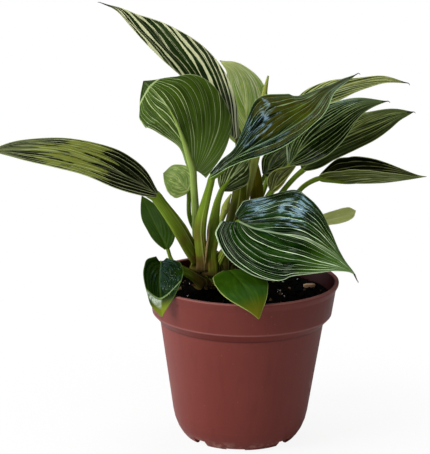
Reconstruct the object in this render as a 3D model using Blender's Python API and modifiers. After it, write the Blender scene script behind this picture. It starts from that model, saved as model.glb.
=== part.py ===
"""Potted philodendron: a young plant with pinstriped leaves in a round nursery pot.

Metres, +Z up. The origin is the centre of the face that the pot stands on, and -Y is the front.
Lengths in the tables below are millimetres, and MM turns them into metres.
"""
import math

import bmesh
import bpy
import numpy as np

MM = 0.001
GAP = 0.3  # between pieces that touch

# Pot, as radius and height
POT_HEIGHT = 88.0
RIM_RADIUS = 52.5
WALL = 1.2
LIP_HEIGHT = 4.2
LIP_BEVEL = 0.8
BAND_TOP_RADIUS = 51.0
BAND_LOW = (49.0, 69.8)
SHOULDER = (44.7, 65.2)
BODY_LOW = (37.2, 15.0)
HEEL = [(36.1, 10.0), (34.3, 5.5), (32.4, 2.4)]
FOOT_RADIUS = 30.4
FOOT_WIDTH = 2.0
FOOT_BEVEL = 0.5
GUTTER_DEPTH = 3.5
GUTTER_SLOPE = 0.8
CENTRE_RADIUS = 20.0
FLOOR = 1.6
HEEL_RISE = 0.4  # the wall's inner corners lie this much above its outer ones, at the heel
WALL_RISE = 0.6  # and further up
POT_STEPS = 44

# Notches in the foot and holes in the gutter, which let water out
NOTCH_COUNT = 4
NOTCH_FIRST_DEG = -132.0
NOTCH_WIDTH = 8.0
NOTCH_HEIGHT = 3.2
NOTCH_MARGIN = 1.5  # from the notch to the inner end of the box that cuts it
SHALLOW_TURN_DEG = 38.0
SHALLOW_WIDTH = 10.0
SHALLOW_HEIGHT = 0.8
HOLE_COUNT = 6
HOLE_RADIUS = 2.4
HOLE_RING = 24.4

# Potting soil
SOIL_TOP = 79.0
SOIL_MOUND = 0.8
MOUND_BEND = (0.55, 0.8)  # share of the radius and of the mound's height
SOIL_STEPS = 28

# Two short stems, which carry the leaf stalks: middle, bottom, top and radius
STEM_SIDES = 12
STEMS = {
    "stem_front": dict(foot=(-18, 8), low=66.0, top=100.0, radius=3.2),
    "stem_back": dict(foot=(-3, 24), low=66.0, top=100.0, radius=3.2),
}

# Bark chip on the soil
CHIP_PLACE = (37, 14)
CHIP_SIZE = (6.6, 3.2, 2.0)
CHIP_TILT_DEG = 4.0
CHIP_TURN_DEG = 12.0
CHIP_BEVEL = 0.5

BLADE_THICKNESS = 0.7
WIDE = 10.5  # half-width of a leaf that takes more faces
LOBE_AT = 0.05  # share of the midrib
STATIONS = (0.0, 0.03, 0.08, 0.25, 0.45, 0.65, 0.85, 0.93, 1.0)

# Leaf blades. midrib runs from base to tip, facing is the way that the upper face looks (base, tip),
# left and right are half-widths at STATIONS or at the leaf's own stations, cup is the slope of each
# half at the midrib and its change towards the edge in degrees, and lobe is how far each half reaches
# back past the stalk, at the base and from LOBE_AT on.
LEAVES = {
    "leaf_front": dict(
        midrib=[(-3.2, -16, 124), (6, -22, 121.5), (18, -30, 121), (33, -38, 120), (48, -44, 113),
                (57, -46, 105), (59.5, -46.5, 100.5)],
        facing=[(-0.2, -0.8, 0.6), (0.1, -0.8, 0.6)],
        left=(3.5, 10.5, 17.5, 33, 28, 13, 1.5, 0.6, 0), right=(3.5, 8.5, 14.5, 23.5, 24.5, 18, 6, 1, 0),
        cup_left=(-10, -20), cup_right=(-10, -15), lobe_left=(4, 12), lobe_right=(9, 15)),
    "leaf_big": dict(
        midrib=[(-18, -12, 147), (-2, -21, 161), (17, -25, 172), (34, -23, 183.5), (43.5, -17, 194.5),
                (58, -11, 203)],
        facing=[(-0.2, -0.8, 0.6), (0.0, -0.8, 0.5)],
        stations=(0.0, 0.03, 0.08, 0.22, 0.3, 0.36, 0.45, 0.65, 0.85, 0.93, 1.0),
        left=(2.5, 3.5, 5, 8, 20, 28, 29.5, 19.5, 3, 1.8, 0),
        right=(2, 3, 4, 9, 12.5, 15, 16, 10.5, 4, 2, 0),
        cup_left=(-8, -15), cup_right=(35, 15)),
    "leaf_centre": dict(
        midrib=[(-28, 0, 148), (-33.5, -5, 167), (-39.5, -6, 180.5), (-47.5, 0, 188.5), (-55, 8, 194.5)],
        facing=[(-0.25, 0.93, 0.2), (0.0, 0.95, 0.0)],
        left=(6, 10, 16, 27, 29, 24.5, 10.5, 4.5, 0), right=(2, 2.2, 2.5, 3.5, 12, 17.5, 14.5, 9, 0),
        cup_left=(8, 10), cup_right=(8, 10), lobe_left=(8, 8), lobe_right=(1, 1)),
    "leaf_tall": dict(
        midrib=[(-4, 12, 163), (-13, 15, 183), (-27, 20, 199), (-44, 25, 210), (-61, 30, 221),
                (-71, 32, 229.5), (-80, 34, 233)],
        facing=[(-0.5, -0.8, 0.2), (-0.3, -0.8, 0.4)],
        left=(1.5, 3, 5, 9, 8, 5, 1, 0.5, 0), right=(1.5, 3, 5, 11, 13, 11.5, 4.5, 1, 0),
        cup_left=(8, 8), cup_right=(8, 8)),
    "leaf_back": dict(
        midrib=[(3, 30, 153), (1, 35, 168), (-2, 42, 182), (-7, 50, 193.5), (-15, 57, 199)],
        facing=[(0.1, -0.95, 0.2), (0.1, -0.9, 0.4)],
        left=(1.5, 4, 8, 14, 15, 9.5, 3, 1.5, 0), right=(1.5, 3.5, 7, 12, 14, 12, 5, 2.2, 0),
        cup_left=(5, 5), cup_right=(5, 5)),
    "leaf_upper_right": dict(
        midrib=[(22, 38, 163), (36, 45, 177), (55, 50, 186), (75, 54, 190), (91, 56, 188)],
        facing=[(-0.2, -0.8, 0.6), (0.1, -0.8, 0.6)],
        left=(1.5, 2.5, 4.5, 8, 7, 3.2, 2, 1, 0), right=(1.5, 3, 5, 7, 7, 5, 2, 0.8, 0),
        cup_left=(8, 0), cup_right=(8, 0)),
    "leaf_right_dark": dict(
        midrib=[(24, 12, 149), (35, 11, 164), (49, 12, 175), (62, 15, 182), (77, 18, 184)],
        facing=[(-0.2, -0.8, 0.6), (0.1, -0.8, 0.6)],
        left=(1.5, 4, 8, 13, 13, 9, 3.5, 1.5, 0), right=(1.5, 3.5, 7, 13, 13, 8, 3, 1.25, 0),
        cup_left=(-8, -10), cup_right=(-8, -10)),
    "leaf_right_striped": dict(
        midrib=[(32, 25, 144), (44, 29, 155), (63, 33, 167), (80, 36, 174), (93, 37, 175)],
        facing=[(-0.2, -0.8, 0.6), (0.1, -0.8, 0.6)],
        left=(1.5, 4, 8, 12, 10, 6, 2.5, 1.25, 0), right=(1.5, 3.5, 6, 9, 11, 11, 6.5, 3.25, 0),
        cup_left=(0, 0), cup_right=(0, 0)),
    "leaf_right_low": dict(
        midrib=[(41, 12, 143), (49, 9, 142), (58, 7, 141), (74, 4, 142), (87, 3, 144), (98, 2, 146)],
        facing=[(0.0, -0.3, 0.95), (0.0, -0.3, 0.95)],
        left=(1.5, 4.5, 9, 14, 14, 10.5, 4, 1.5, 0), right=(1.5, 3, 6, 12, 13, 10, 4, 1.5, 0),
        cup_left=(50, 0), cup_right=(60, 0)),
    "leaf_small_right": dict(
        midrib=[(32, 32, 111), (47, 36, 113), (56, 38, 115), (63, 39, 118)],
        facing=[(-0.1, -0.8, 0.6), (0.1, -0.8, 0.6)],
        left=(1.2, 1.5, 2, 3, 4, 4.5, 4.2, 3.1, 0), right=(1.2, 1.5, 2, 3, 3.5, 4, 3.7, 2.7, 0),
        cup_left=(10, 0), cup_right=(10, 0)),
    "leaf_left_long": dict(
        midrib=[(-46, -6, 135), (-58, -12, 144), (-76, -18, 154), (-97, -22, 161), (-118, -25, 163),
                (-134, -27, 162)],
        facing=[(0.1, -0.8, 0.6), (0.1, -0.8, 0.6)],
        left=(1.5, 3, 5, 9, 9, 9, 5.5, 2.75, 0), right=(1.5, 3.5, 7, 12, 11, 8, 4.5, 2.25, 0),
        cup_left=(0, -10), cup_right=(0, -10)),
    "leaf_oval": dict(
        midrib=[(-42, 19, 99), (-46, 17, 108), (-51, 15, 119), (-56, 14, 130)],
        facing=[(-0.3, -0.9, 0.3), (-0.3, -0.9, 0.3)],
        left=(1.5, 2, 3, 5, 5.5, 5.5, 3, 1.5, 0), right=(1.5, 3, 5, 9, 10, 9, 4, 2, 0),
        cup_left=(5, 5), cup_right=(5, 5)),
    "leaf_low_left": dict(
        midrib=[(-44, -14, 100), (-44, -26, 94), (-43, -35, 87), (-42, -41, 77)],
        facing=[(0.1, -0.6, 0.8), (-0.4, -0.9, 0.1)],
        left=(3, 5.5, 9, 12.5, 14, 11.5, 5, 2, 0), right=(3, 4.5, 7, 9, 8.5, 7, 4.5, 2, 0),
        cup_left=(10, 8), cup_right=(15, 15), lobe_left=(3, 3), lobe_right=(3, 3)),
    "leaf_low_front": dict(
        midrib=[(-7, -10, 95), (-2, -28, 95), (2, -44, 94), (6, -55, 89.5), (9, -59, 82)],
        facing=[(0.0, -0.4, 0.9), (0.2, -0.95, 0.1)],
        left=(3, 5.5, 9, 14, 14, 11.5, 6.5, 3, 0), right=(3, 5.5, 9, 12.5, 13.5, 12, 6, 2.5, 0),
        cup_left=(0, -10), cup_right=(0, -6), lobe_left=(2, 2), lobe_right=(2, 2)),
    "leaf_mottled": dict(
        midrib=[(-30.5, 26, 130.5), (-38, 28, 137), (-45, 30, 139.5)],
        facing=[(0.0, -0.9, 0.4), (0.1, -0.9, 0.3)],
        left=(3, 4.5, 7, 9, 9, 8, 5, 2.5, 0), right=(3, 4.5, 7, 10, 10, 8, 5, 2.5, 0),
        cup_left=(5, 10), cup_right=(5, 10)),
    "leaf_under": dict(
        midrib=[(-12, 1, 137), (-5, 3, 146), (2, 5, 154)],
        facing=[(0.3, 0.9, 0.3), (0.3, 0.9, 0.3)],
        left=(1.5, 2.5, 4, 7, 9, 8, 4, 2, 0), right=(1.5, 2.5, 4, 7, 8, 7, 4, 2, 0),
        cup_left=(5, 10), cup_right=(5, 10)),
    "leaf_folded": dict(
        midrib=[(15, 3, 136), (20, 1, 144), (28, -2, 152)],
        facing=[(-0.3, -0.9, 0.3), (0.3, -0.9, 0.3)],
        left=(1.5, 2.5, 4, 6, 6, 4, 2, 1, 0), right=(1.5, 1.5, 2, 3, 3, 2, 1, 0.5, 0),
        cup_left=(5, 10), cup_right=(5, 10)),
    "leaf_behind": dict(
        midrib=[(11, 27, 140), (19, 26, 150), (28, 24, 158)],
        facing=[(-0.2, -0.9, 0.3), (0.2, -0.9, 0.3)],
        left=(1.5, 2.5, 4, 7, 7, 5, 3, 1.5, 0), right=(1.5, 2.5, 4, 7, 7, 5, 3, 1.5, 0),
        cup_left=(0, -10), cup_right=(0, -10)),
}

# Leaf stalks: which stem carries them, the side of it that they start on, the height of that start,
# how far they follow the stem, free points on the way, and radii from the start to the end. The last
# point comes from the leaf.
STALKS = {
    "stalk_low_left": dict(stem="stem_front", turn=228, low=82.5, rise=1.5, leaf="leaf_low_left",
                           points=[(-29, -3, 91), (-37, -9, 96)], radius=(2.7, 2.1)),
    "stalk_low_front": dict(stem="stem_front", turn=300, low=82.5, rise=1.5, leaf="leaf_low_front",
                            points=[(-11, -4, 89)], radius=(1.7, 1.4)),
    "stalk_oval": dict(stem="stem_front", turn=158, low=82.5, rise=1.5, leaf="leaf_oval",
                       points=[(-31, 15, 86), (-39, 19, 92)], radius=(1.3, 1.0)),
    "stalk_left_long": dict(stem="stem_front", turn=174, low=89, rise=6, leaf="leaf_left_long",
                            points=[(-28.4, 3.5, 103), (-36, -3, 118)], radius=(2.7, 2.8)),
    "stalk_centre": dict(stem="stem_front", turn=112, low=86, rise=8, leaf="leaf_centre",
                         points=[(-25, 9, 106), (-26, 6, 121), (-27, 2, 137)], radius=(2.0, 1.8)),
    "stalk_big": dict(stem="stem_front", turn=229, low=91, rise=5, leaf="leaf_big",
                      points=[(-22.5, 0.8, 102), (-23.4, -1, 111), (-23, -4, 120), (-21, -7, 130)],
                      radius=(2.3, 2.6, 1.7)),
    "stalk_front": dict(stem="stem_front", turn=328, low=88.5, rise=6, leaf="leaf_front",
                        points=[(-10, -3, 104), (-6, -9, 114)], radius=(2.0, 1.5)),
    "stalk_under": dict(stem="stem_front", turn=279, low=88.5, rise=6, leaf="leaf_under",
                        points=[(-17.7, 2, 101.5), (-16.8, 2, 107), (-16.2, 1.5, 117),
                                (-14.3, 0, 130)],
                        radius=(1.8, 2.2, 1.4)),
    "stalk_folded": dict(stem="stem_front", turn=66, low=87, rise=6, leaf="leaf_folded",
                         points=[(-6, 9, 108), (7, 6, 125)], radius=(1.4, 1.1)),
    "stalk_small_right": dict(stem="stem_back", turn=38, low=82, rise=1.5, leaf="leaf_small_right",
                              points=[(10, 29, 95), (22, 32, 106)], radius=(1.3, 1.0)),
    "stalk_mottled": dict(stem="stem_back", turn=160, low=85, rise=6, leaf="leaf_mottled",
                          points=[(-20.5, 25, 100), (-29.5, 26, 114)], radius=(1.4, 1.2)),
    "stalk_tall": dict(stem="stem_back", turn=208, low=84, rise=8, leaf="leaf_tall",
                       points=[(-8, 17, 106), (-3, 14, 129), (-2, 12, 148)], radius=(2.4, 3.2, 2.0)),
    "stalk_right_dark": dict(stem="stem_back", turn=257, low=84, rise=8, leaf="leaf_right_dark",
                             points=[(0, 15, 107), (9, 13, 124), (18, 12, 139)],
                             radius=(1.7, 1.3)),
    "stalk_back": dict(stem="stem_back", turn=306, low=84, rise=8, leaf="leaf_back",
                       points=[(3, 19, 106), (7, 22, 125), (6, 27, 141)], radius=(2.3, 3.0, 2.0)),
    "stalk_right_low": dict(stem="stem_back", turn=353, low=84, rise=4, leaf="leaf_right_low",
                            points=[(10, 19, 103), (23, 14, 123), (32, 12, 137)],
                            radius=(1.7, 1.3)),
    "stalk_right_striped": dict(stem="stem_back", turn=24, low=90, rise=6, leaf="leaf_right_striped",
                                points=[(11, 24, 115), (20, 23, 130), (27, 23, 139)],
                                radius=(1.7, 1.4)),
    "stalk_upper_right": dict(stem="stem_back", turn=72, low=84, rise=8, leaf="leaf_upper_right",
                              points=[(3, 33, 108), (10, 35, 127), (17, 37, 147)],
                              radius=(1.7, 1.3)),
    "stalk_behind": dict(stem="stem_back", turn=112, low=84, rise=8, leaf="leaf_behind",
                         points=[(-2, 33, 108), (6, 31, 126)], radius=(1.2, 1.0)),
}

# Rolled new leaves and a dry sheath, as points with a radius at each
SHOOTS = {
    "new_leaf_back": [(-3, 24, 100.6, 1.6), (0, 22, 120, 1.5), (5, 18, 145, 1.7), (8, 16, 165, 2.3),
                      (9.5, 16, 180, 2.8), (10.5, 16.5, 189, 2.2), (12, 17, 197, 0.5)],
    "new_leaf_front": [(-18, 8, 100.7, 1.0), (-14, 10, 112, 0.9), (-11, 10, 121, 1.3),
                       (-9, 10, 128, 2.2), (-7, 9, 133, 0.4)],
    "dry_sheath": [(-20.4, -0.6, 95, 0.4), (-19.6, -1.2, 104, 0.7), (-18.8, -1.6, 112, 0.6),
                   (-18.2, -2.2, 120, 0.3)],
}


def smooth_curve(points, count):
    """Evenly spaced points along a Catmull-Rom curve through the given ones."""
    ends = np.array(points, float)
    ends = np.vstack([2 * ends[0] - ends[1], ends, 2 * ends[-1] - ends[-2]])
    fine = []
    for i in range(1, len(ends) - 2):
        a, b, c, d = ends[i - 1:i + 3]
        for t in np.linspace(0, 1, 24, endpoint=False):
            fine.append(0.5 * (2 * b + (c - a) * t + (2 * a - 5 * b + 4 * c - d) * t**2
                               + (3 * b - a - 3 * c + d) * t**3))
    fine.append(ends[-2])
    fine = np.array(fine)
    run = np.concatenate([[0], np.cumsum(np.linalg.norm(np.diff(fine, axis=0), axis=1))])
    wanted = np.linspace(0, run[-1], count)
    return np.stack([np.interp(wanted, run, fine[:, k]) for k in range(3)], axis=1)


def width_at(leaf, side, t):
    """Half-width at t, on a smooth cubic through the widths at the leaf's stations."""
    x = np.array(leaf.get("stations", STATIONS))
    y = np.array(leaf[side], float)
    slope = np.gradient(y, x)
    i = np.clip(np.searchsorted(x, t, side="right") - 1, 0, len(x) - 2)
    h = x[i + 1] - x[i]
    s = (t - x[i]) / h
    value = ((2 * s**3 - 3 * s**2 + 1) * y[i] + (s**3 - 2 * s**2 + s) * h * slope[i]
             + (3 * s**2 - 2 * s**3) * y[i + 1] + (s**3 - s**2) * h * slope[i + 1])
    return np.maximum(value, 0.0)


def blade_frame(leaf, count):
    """Midrib points with the tangent, the upper face's normal and the way to the right."""
    middle = smooth_curve(leaf["midrib"], count)
    tangent = np.gradient(middle, axis=0)
    tangent /= np.linalg.norm(tangent, axis=1)[:, None]
    base, tip = (np.array(f, float) for f in leaf["facing"])
    t = np.linspace(0, 1, count)[:, None]
    normal = base * (1 - t) + tip * t
    normal -= (normal * tangent).sum(axis=1)[:, None] * tangent
    normal /= np.linalg.norm(normal, axis=1)[:, None]
    return middle, tangent, normal, np.cross(tangent, normal)


def blade_surface(leaf, along, across):
    """Points of the blade's middle surface: rows from the left edge to the right edge."""
    middle, tangent, normal, right = blade_frame(leaf, along + 1)
    t = np.linspace(0, 1, along + 1)
    rows = []
    for j in range(-across, across + 1):
        side = "right" if j > 0 else "left"
        u = abs(j) / across
        slope, bend = leaf["cup_" + side]
        steps = np.linspace(0, u, 9)
        angle = np.radians(slope + bend * steps)
        out = np.trapz(np.cos(angle), steps) * (1 if j > 0 else -1)
        up = np.trapz(np.sin(angle), steps)
        width = width_at(leaf, side, t)[:, None]
        first, further = leaf.get("lobe_" + side, (0, 0))
        back = (first + (further - first) * np.minimum(t / LOBE_AT, 1)) * u**1.5 * (1 - t)**3
        rows.append(middle + right * width * out + normal * width * up - tangent * back[:, None])
    return np.array(rows)


def spread(values, count):
    """A number of values between the given ones, which lie evenly along a length."""
    return np.interp(np.linspace(0, 1, count), np.linspace(0, 1, len(values)), values)


def clearance(points, radii, stem):
    """Smallest distance between a stalk and its stem, taking both as round."""
    count = 20 * len(points)
    fine = np.stack([spread(points[:, k], count) for k in range(3)], axis=1)
    radius = spread(radii, count)
    off = np.hypot(fine[:, 0] - stem["foot"][0], fine[:, 1] - stem["foot"][1])
    beside = fine[:, 2] < stem["top"] + radius
    return (off - radius)[beside].min() - stem["radius"]


def stalk_points(stalk, count):
    """Points of a leaf stalk, from its stem to just under the base of its leaf.

    The start moves out or in until the stalk clears its stem by GAP.
    """
    stem = STEMS[stalk["stem"]]
    radii = spread(stalk["radius"], count)
    first, last = radii[0], radii[-1]
    turn = math.radians(stalk["turn"])
    low, rise = stalk["low"], stalk["rise"]
    middle, _, normal, _ = blade_frame(LEAVES[stalk["leaf"]], 25)
    end = middle[0] - normal[0] * (last + BLADE_THICKNESS / 2 + 2 * GAP)
    reach = stem["radius"] + first + GAP
    for _ in range(6):
        x = stem["foot"][0] + reach * math.cos(turn)
        y = stem["foot"][1] + reach * math.sin(turn)
        start = [(x, y, low), (x, y, low + rise / 2), (x, y, low + rise)]
        points = smooth_curve(start + list(stalk["points"]) + [tuple(end)], count)
        reach += GAP - clearance(points, radii, stem)
    return points


def make_collection(name):
    """A new collection in the scene."""
    collection = bpy.data.collections.new(name)
    bpy.context.scene.collection.children.link(collection)
    return collection


def make_material(name, colour, roughness):
    """A plain Principled BSDF material."""
    material = bpy.data.materials.new(name)
    material.use_nodes = True
    shader = material.node_tree.nodes["Principled BSDF"]
    shader.inputs["Base Color"].default_value = (*colour, 1.0)
    shader.inputs["Roughness"].default_value = roughness
    shader.inputs["Metallic"].default_value = 0.0
    return material


def add_object(name, data, collection, material):
    """An object with its own copy of a material, in a collection."""
    thing = bpy.data.objects.new(name, data)
    collection.objects.link(thing)
    own = material.copy()
    own.name = name
    data.materials.clear()
    data.materials.append(own)
    return thing


def adopt(thing, name, collection, material=None):
    """Name the object that an operator made, and move it to a collection."""
    thing.name = name
    for old in list(thing.users_collection):
        old.objects.unlink(thing)
    collection.objects.link(thing)
    if material:
        own = material.copy()
        own.name = name
        thing.data.materials.append(own)
    return thing


def as_cutter(thing):
    """Keep a cutter out of the model."""
    thing.hide_render = True
    thing.display_type = "WIRE"
    return thing


def cut(thing, cutter):
    """Cut one object's shape out of another."""
    boolean = thing.modifiers.new("cut_" + cutter.name, "BOOLEAN")
    boolean.operation = "DIFFERENCE"
    boolean.object = cutter
    boolean.solver = "EXACT"


def turned_object(name, profile, collection, material, steps=POT_STEPS):
    """A body of revolution about Z. The profile is (radius, height), down the outer side."""
    mesh = bpy.data.meshes.new(name)
    points = [(radius * MM, 0.0, height * MM) for radius, height in profile]
    edges = [(i, i + 1) for i in range(len(points) - 1)]
    mesh.from_pydata(points, edges, [])
    thing = add_object(name, mesh, collection, material)
    screw = thing.modifiers.new("turn", "SCREW")
    screw.steps = steps
    screw.render_steps = steps
    screw.use_merge_vertices = True
    screw.merge_threshold = 0.00001
    screw.use_smooth_shade = True
    return thing


def pot_inside():
    """Inner side of the pot from the middle of its floor to the rim."""
    top = POT_HEIGHT - LIP_HEIGHT
    heel = [(radius - WALL, height + HEEL_RISE) for radius, height in HEEL[::-1][1:]]
    return [
        (0.0, FLOOR),
        (CENTRE_RADIUS - WALL - GUTTER_SLOPE, FLOOR),
        (CENTRE_RADIUS - WALL, GUTTER_DEPTH + FLOOR),
        (HEEL[-1][0] - WALL, GUTTER_DEPTH + FLOOR),
        *heel,
        (BODY_LOW[0] - WALL, BODY_LOW[1]),
        (SHOULDER[0] - WALL, SHOULDER[1] + WALL_RISE),
        (BAND_LOW[0] - WALL, BAND_LOW[1] + WALL_RISE),
        (BAND_TOP_RADIUS - WALL, top),
        (BAND_TOP_RADIUS - WALL + LIP_BEVEL / 3, POT_HEIGHT - LIP_BEVEL / 2),
        (BAND_TOP_RADIUS - WALL + LIP_BEVEL, POT_HEIGHT),
    ]


def pot_outside():
    """Outer side of the pot from the rim to the middle of its base."""
    top = POT_HEIGHT - LIP_HEIGHT
    foot_inside = FOOT_RADIUS - FOOT_WIDTH
    return [
        (RIM_RADIUS - LIP_BEVEL, POT_HEIGHT),
        (RIM_RADIUS - LIP_BEVEL / 4, POT_HEIGHT - LIP_BEVEL / 4),
        (RIM_RADIUS, POT_HEIGHT - LIP_BEVEL),
        (RIM_RADIUS, top + LIP_BEVEL / 2),
        (RIM_RADIUS - LIP_BEVEL / 3, top),
        (BAND_TOP_RADIUS, top - LIP_BEVEL / 3),
        BAND_LOW,
        SHOULDER,
        BODY_LOW,
        *HEEL,
        (FOOT_RADIUS + FOOT_BEVEL, FOOT_BEVEL),
        (FOOT_RADIUS, 0.0),
        (foot_inside, 0.0),
        (foot_inside, GUTTER_DEPTH),
        (CENTRE_RADIUS + GUTTER_SLOPE, GUTTER_DEPTH),
        (CENTRE_RADIUS, 0.0),
        (0.0, 0.0),
    ]


def notch_cutter(name, turn_deg, width, height, cutters):
    """A box across the foot of the pot, from below it up to a height."""
    inner = FOOT_RADIUS - FOOT_WIDTH - NOTCH_MARGIN
    length = 10.0
    middle = inner + length / 2
    turn = math.radians(turn_deg)
    below = 1.0
    place = (middle * math.cos(turn) * MM, middle * math.sin(turn) * MM, (height - below) / 2 * MM)
    bpy.ops.mesh.primitive_cube_add(size=1.0, location=place, rotation=(0.0, 0.0, turn))
    box = bpy.context.object
    box.scale = (length * MM, width * MM, (height + below) * MM)
    return as_cutter(adopt(box, name, cutters))


def hole_cutter(name, turn_deg, cutters):
    """A round drain hole through the top of the gutter."""
    turn = math.radians(turn_deg)
    place = (HOLE_RING * math.cos(turn) * MM, HOLE_RING * math.sin(turn) * MM,
             (GUTTER_DEPTH + FLOOR / 2) * MM)
    bpy.ops.mesh.primitive_cylinder_add(vertices=10, radius=HOLE_RADIUS * MM, depth=2 * FLOOR * MM,
                                        location=place)
    return as_cutter(adopt(bpy.context.object, name, cutters))


def add_pot(parts, cutters, material):
    """The nursery pot with its lip, band, foot ring, drain notches and holes."""
    pot = turned_object("pot", pot_inside() + pot_outside(), parts, material)
    for i in range(NOTCH_COUNT):
        turn = NOTCH_FIRST_DEG + 360.0 / NOTCH_COUNT * i
        cut(pot, notch_cutter(f"notch_{i}", turn, NOTCH_WIDTH, NOTCH_HEIGHT, cutters))
        cut(pot, notch_cutter(f"shallow_{i}", turn + SHALLOW_TURN_DEG, SHALLOW_WIDTH,
                              SHALLOW_HEIGHT, cutters))
    for i in range(HOLE_COUNT):
        cut(pot, hole_cutter(f"hole_{i}", 360.0 / HOLE_COUNT * i, cutters))


def soil_profile():
    """The soil's side and base lie GAP inside the pot."""
    wall = pot_inside()[3:10]
    inside = [(radius - GAP, height + GAP) for radius, height in wall[:-1]]
    low, high = wall[-2:]
    share = (SOIL_TOP - low[1]) / (high[1] - low[1])
    edge = low[0] + (high[0] - low[0]) * share - GAP
    bend = (MOUND_BEND[0] * edge, SOIL_TOP + MOUND_BEND[1] * SOIL_MOUND)
    return [(0.0, SOIL_TOP + SOIL_MOUND), bend, (edge, SOIL_TOP), *inside[::-1], (0.0, inside[0][1])]


def add_soil_and_stems(parts, cutters, soil_material, stem_material):
    """Potting soil with a socket for each stem, and the stems set in it."""
    soil = turned_object("soil", soil_profile(), parts, soil_material, steps=SOIL_STEPS)
    for name, stem in STEMS.items():
        x, y = stem["foot"]
        depth = stem["top"] - stem["low"]
        place = (x * MM, y * MM, (stem["low"] + depth / 2) * MM)
        bpy.ops.mesh.primitive_cylinder_add(vertices=STEM_SIDES, radius=stem["radius"] * MM,
                                            depth=depth * MM, location=place)
        adopt(bpy.context.object, name, parts, stem_material)
        low = (stem["low"] - GAP + depth / 2) * MM
        bpy.ops.mesh.primitive_cylinder_add(vertices=STEM_SIDES, radius=(stem["radius"] + GAP) * MM,
                                            depth=depth * MM, location=(x * MM, y * MM, low))
        cut(soil, as_cutter(adopt(bpy.context.object, "socket_" + name, cutters)))


def add_blade(name, leaf, parts, material):
    """A leaf blade: a grid laid on the blade's middle surface, with a thickness."""
    along, across = (10, 2) if max(leaf["left"]) < WIDE else (12, 3)
    surface = blade_surface(leaf, along, across) * MM
    shape = bmesh.new()
    bmesh.ops.create_grid(shape, x_segments=2 * across, y_segments=along, size=1.0)
    for vertex in shape.verts:
        column = round((vertex.co.x + 1) * across)
        row = round((vertex.co.y + 1) * along / 2)
        vertex.co = surface[column][row]
    bmesh.ops.remove_doubles(shape, verts=shape.verts, dist=0.000001)
    mesh = bpy.data.meshes.new(name)
    shape.to_mesh(mesh)
    shape.free()
    mesh.shade_smooth()
    blade = add_object(name, mesh, parts, material)
    solidify = blade.modifiers.new("thickness", "SOLIDIFY")
    solidify.thickness = BLADE_THICKNESS * MM
    solidify.offset = 0.0


def add_tube(name, points, radii, parts, material):
    """A tapering tube with closed ends along a list of points."""
    curve = bpy.data.curves.new(name, "CURVE")
    curve.dimensions = "3D"
    curve.bevel_depth = MM
    curve.bevel_resolution = 2
    curve.use_fill_caps = True
    spline = curve.splines.new("POLY")
    spline.points.add(len(points) - 1)
    for point, place, radius in zip(spline.points, points, radii):
        point.co = (*(float(c) * MM for c in place), 1.0)
        point.radius = float(radius)
    add_object(name, curve, parts, material)


def add_stalk(name, stalk, parts, material):
    """A leaf stalk from its stem to its leaf."""
    count = 9
    add_tube(name, stalk_points(stalk, count), spread(stalk["radius"], count), parts, material)


def add_shoot(name, stations, parts, material):
    """A rolled leaf or a sheath, thickest in the middle."""
    count = 12
    points = smooth_curve([station[:3] for station in stations], count)
    radii = spread([station[3] for station in stations], count)
    add_tube(name, points, radii, parts, material)


def add_chip(parts, material):
    """A flat piece of bark lying on the soil."""
    x, y = CHIP_PLACE
    length, width, height = CHIP_SIZE
    z = SOIL_TOP + SOIL_MOUND + height / 2
    bpy.ops.mesh.primitive_cube_add(size=1.0, location=(x * MM, y * MM, z * MM),
                                    rotation=(0.0, math.radians(CHIP_TILT_DEG),
                                              math.radians(CHIP_TURN_DEG)))
    chip = adopt(bpy.context.object, "bark_chip", parts, material)
    chip.data.transform(((length * MM, 0, 0, 0), (0, width * MM, 0, 0), (0, 0, height * MM, 0),
                         (0, 0, 0, 1)))
    bevel = chip.modifiers.new("worn_edges", "BEVEL")
    bevel.width = CHIP_BEVEL * MM
    bevel.segments = 2


def main():
    for thing in list(bpy.data.objects):
        bpy.data.objects.remove(thing)
    parts = make_collection("potted_philodendron")
    cutters = make_collection("cutters")
    clay_plastic = make_material("clay_plastic", (0.19, 0.062, 0.055), 0.45)
    soil = make_material("soil", (0.012, 0.009, 0.007), 0.95)
    green_stem = make_material("green_stem", (0.12, 0.17, 0.035), 0.5)
    leaf_green = make_material("leaf_green", (0.03, 0.09, 0.02), 0.35)
    young_green = make_material("young_green", (0.2, 0.26, 0.06), 0.45)
    dry_brown = make_material("dry_brown", (0.16, 0.08, 0.05), 0.8)
    bark = make_material("bark", (0.36, 0.24, 0.13), 0.9)
    add_pot(parts, cutters, clay_plastic)
    add_soil_and_stems(parts, cutters, soil, green_stem)
    for name, leaf in LEAVES.items():
        add_blade(name, leaf, parts, leaf_green)
    for name, stalk in STALKS.items():
        add_stalk(name, stalk, parts, green_stem)
    for name, stations in SHOOTS.items():
        add_shoot(name, stations, parts, dry_brown if name == "dry_sheath" else young_green)
    add_chip(parts, bark)


main()
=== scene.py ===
"""Looks of the potted philodendron: pinstriped glossy leaves, fleshy stalks, moist soil, a satin pot.

Lengths are millimetres unless a comment says metres, and MM turns them into metres. -Y is the front.
The tables leave out the first word of a name: "front" is leaf_front, stalk_front and stem_front.
"""
import math
import random
from contextlib import contextmanager
from types import SimpleNamespace

import bmesh
import bpy
import numpy as np
from mathutils import Matrix, Vector


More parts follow.
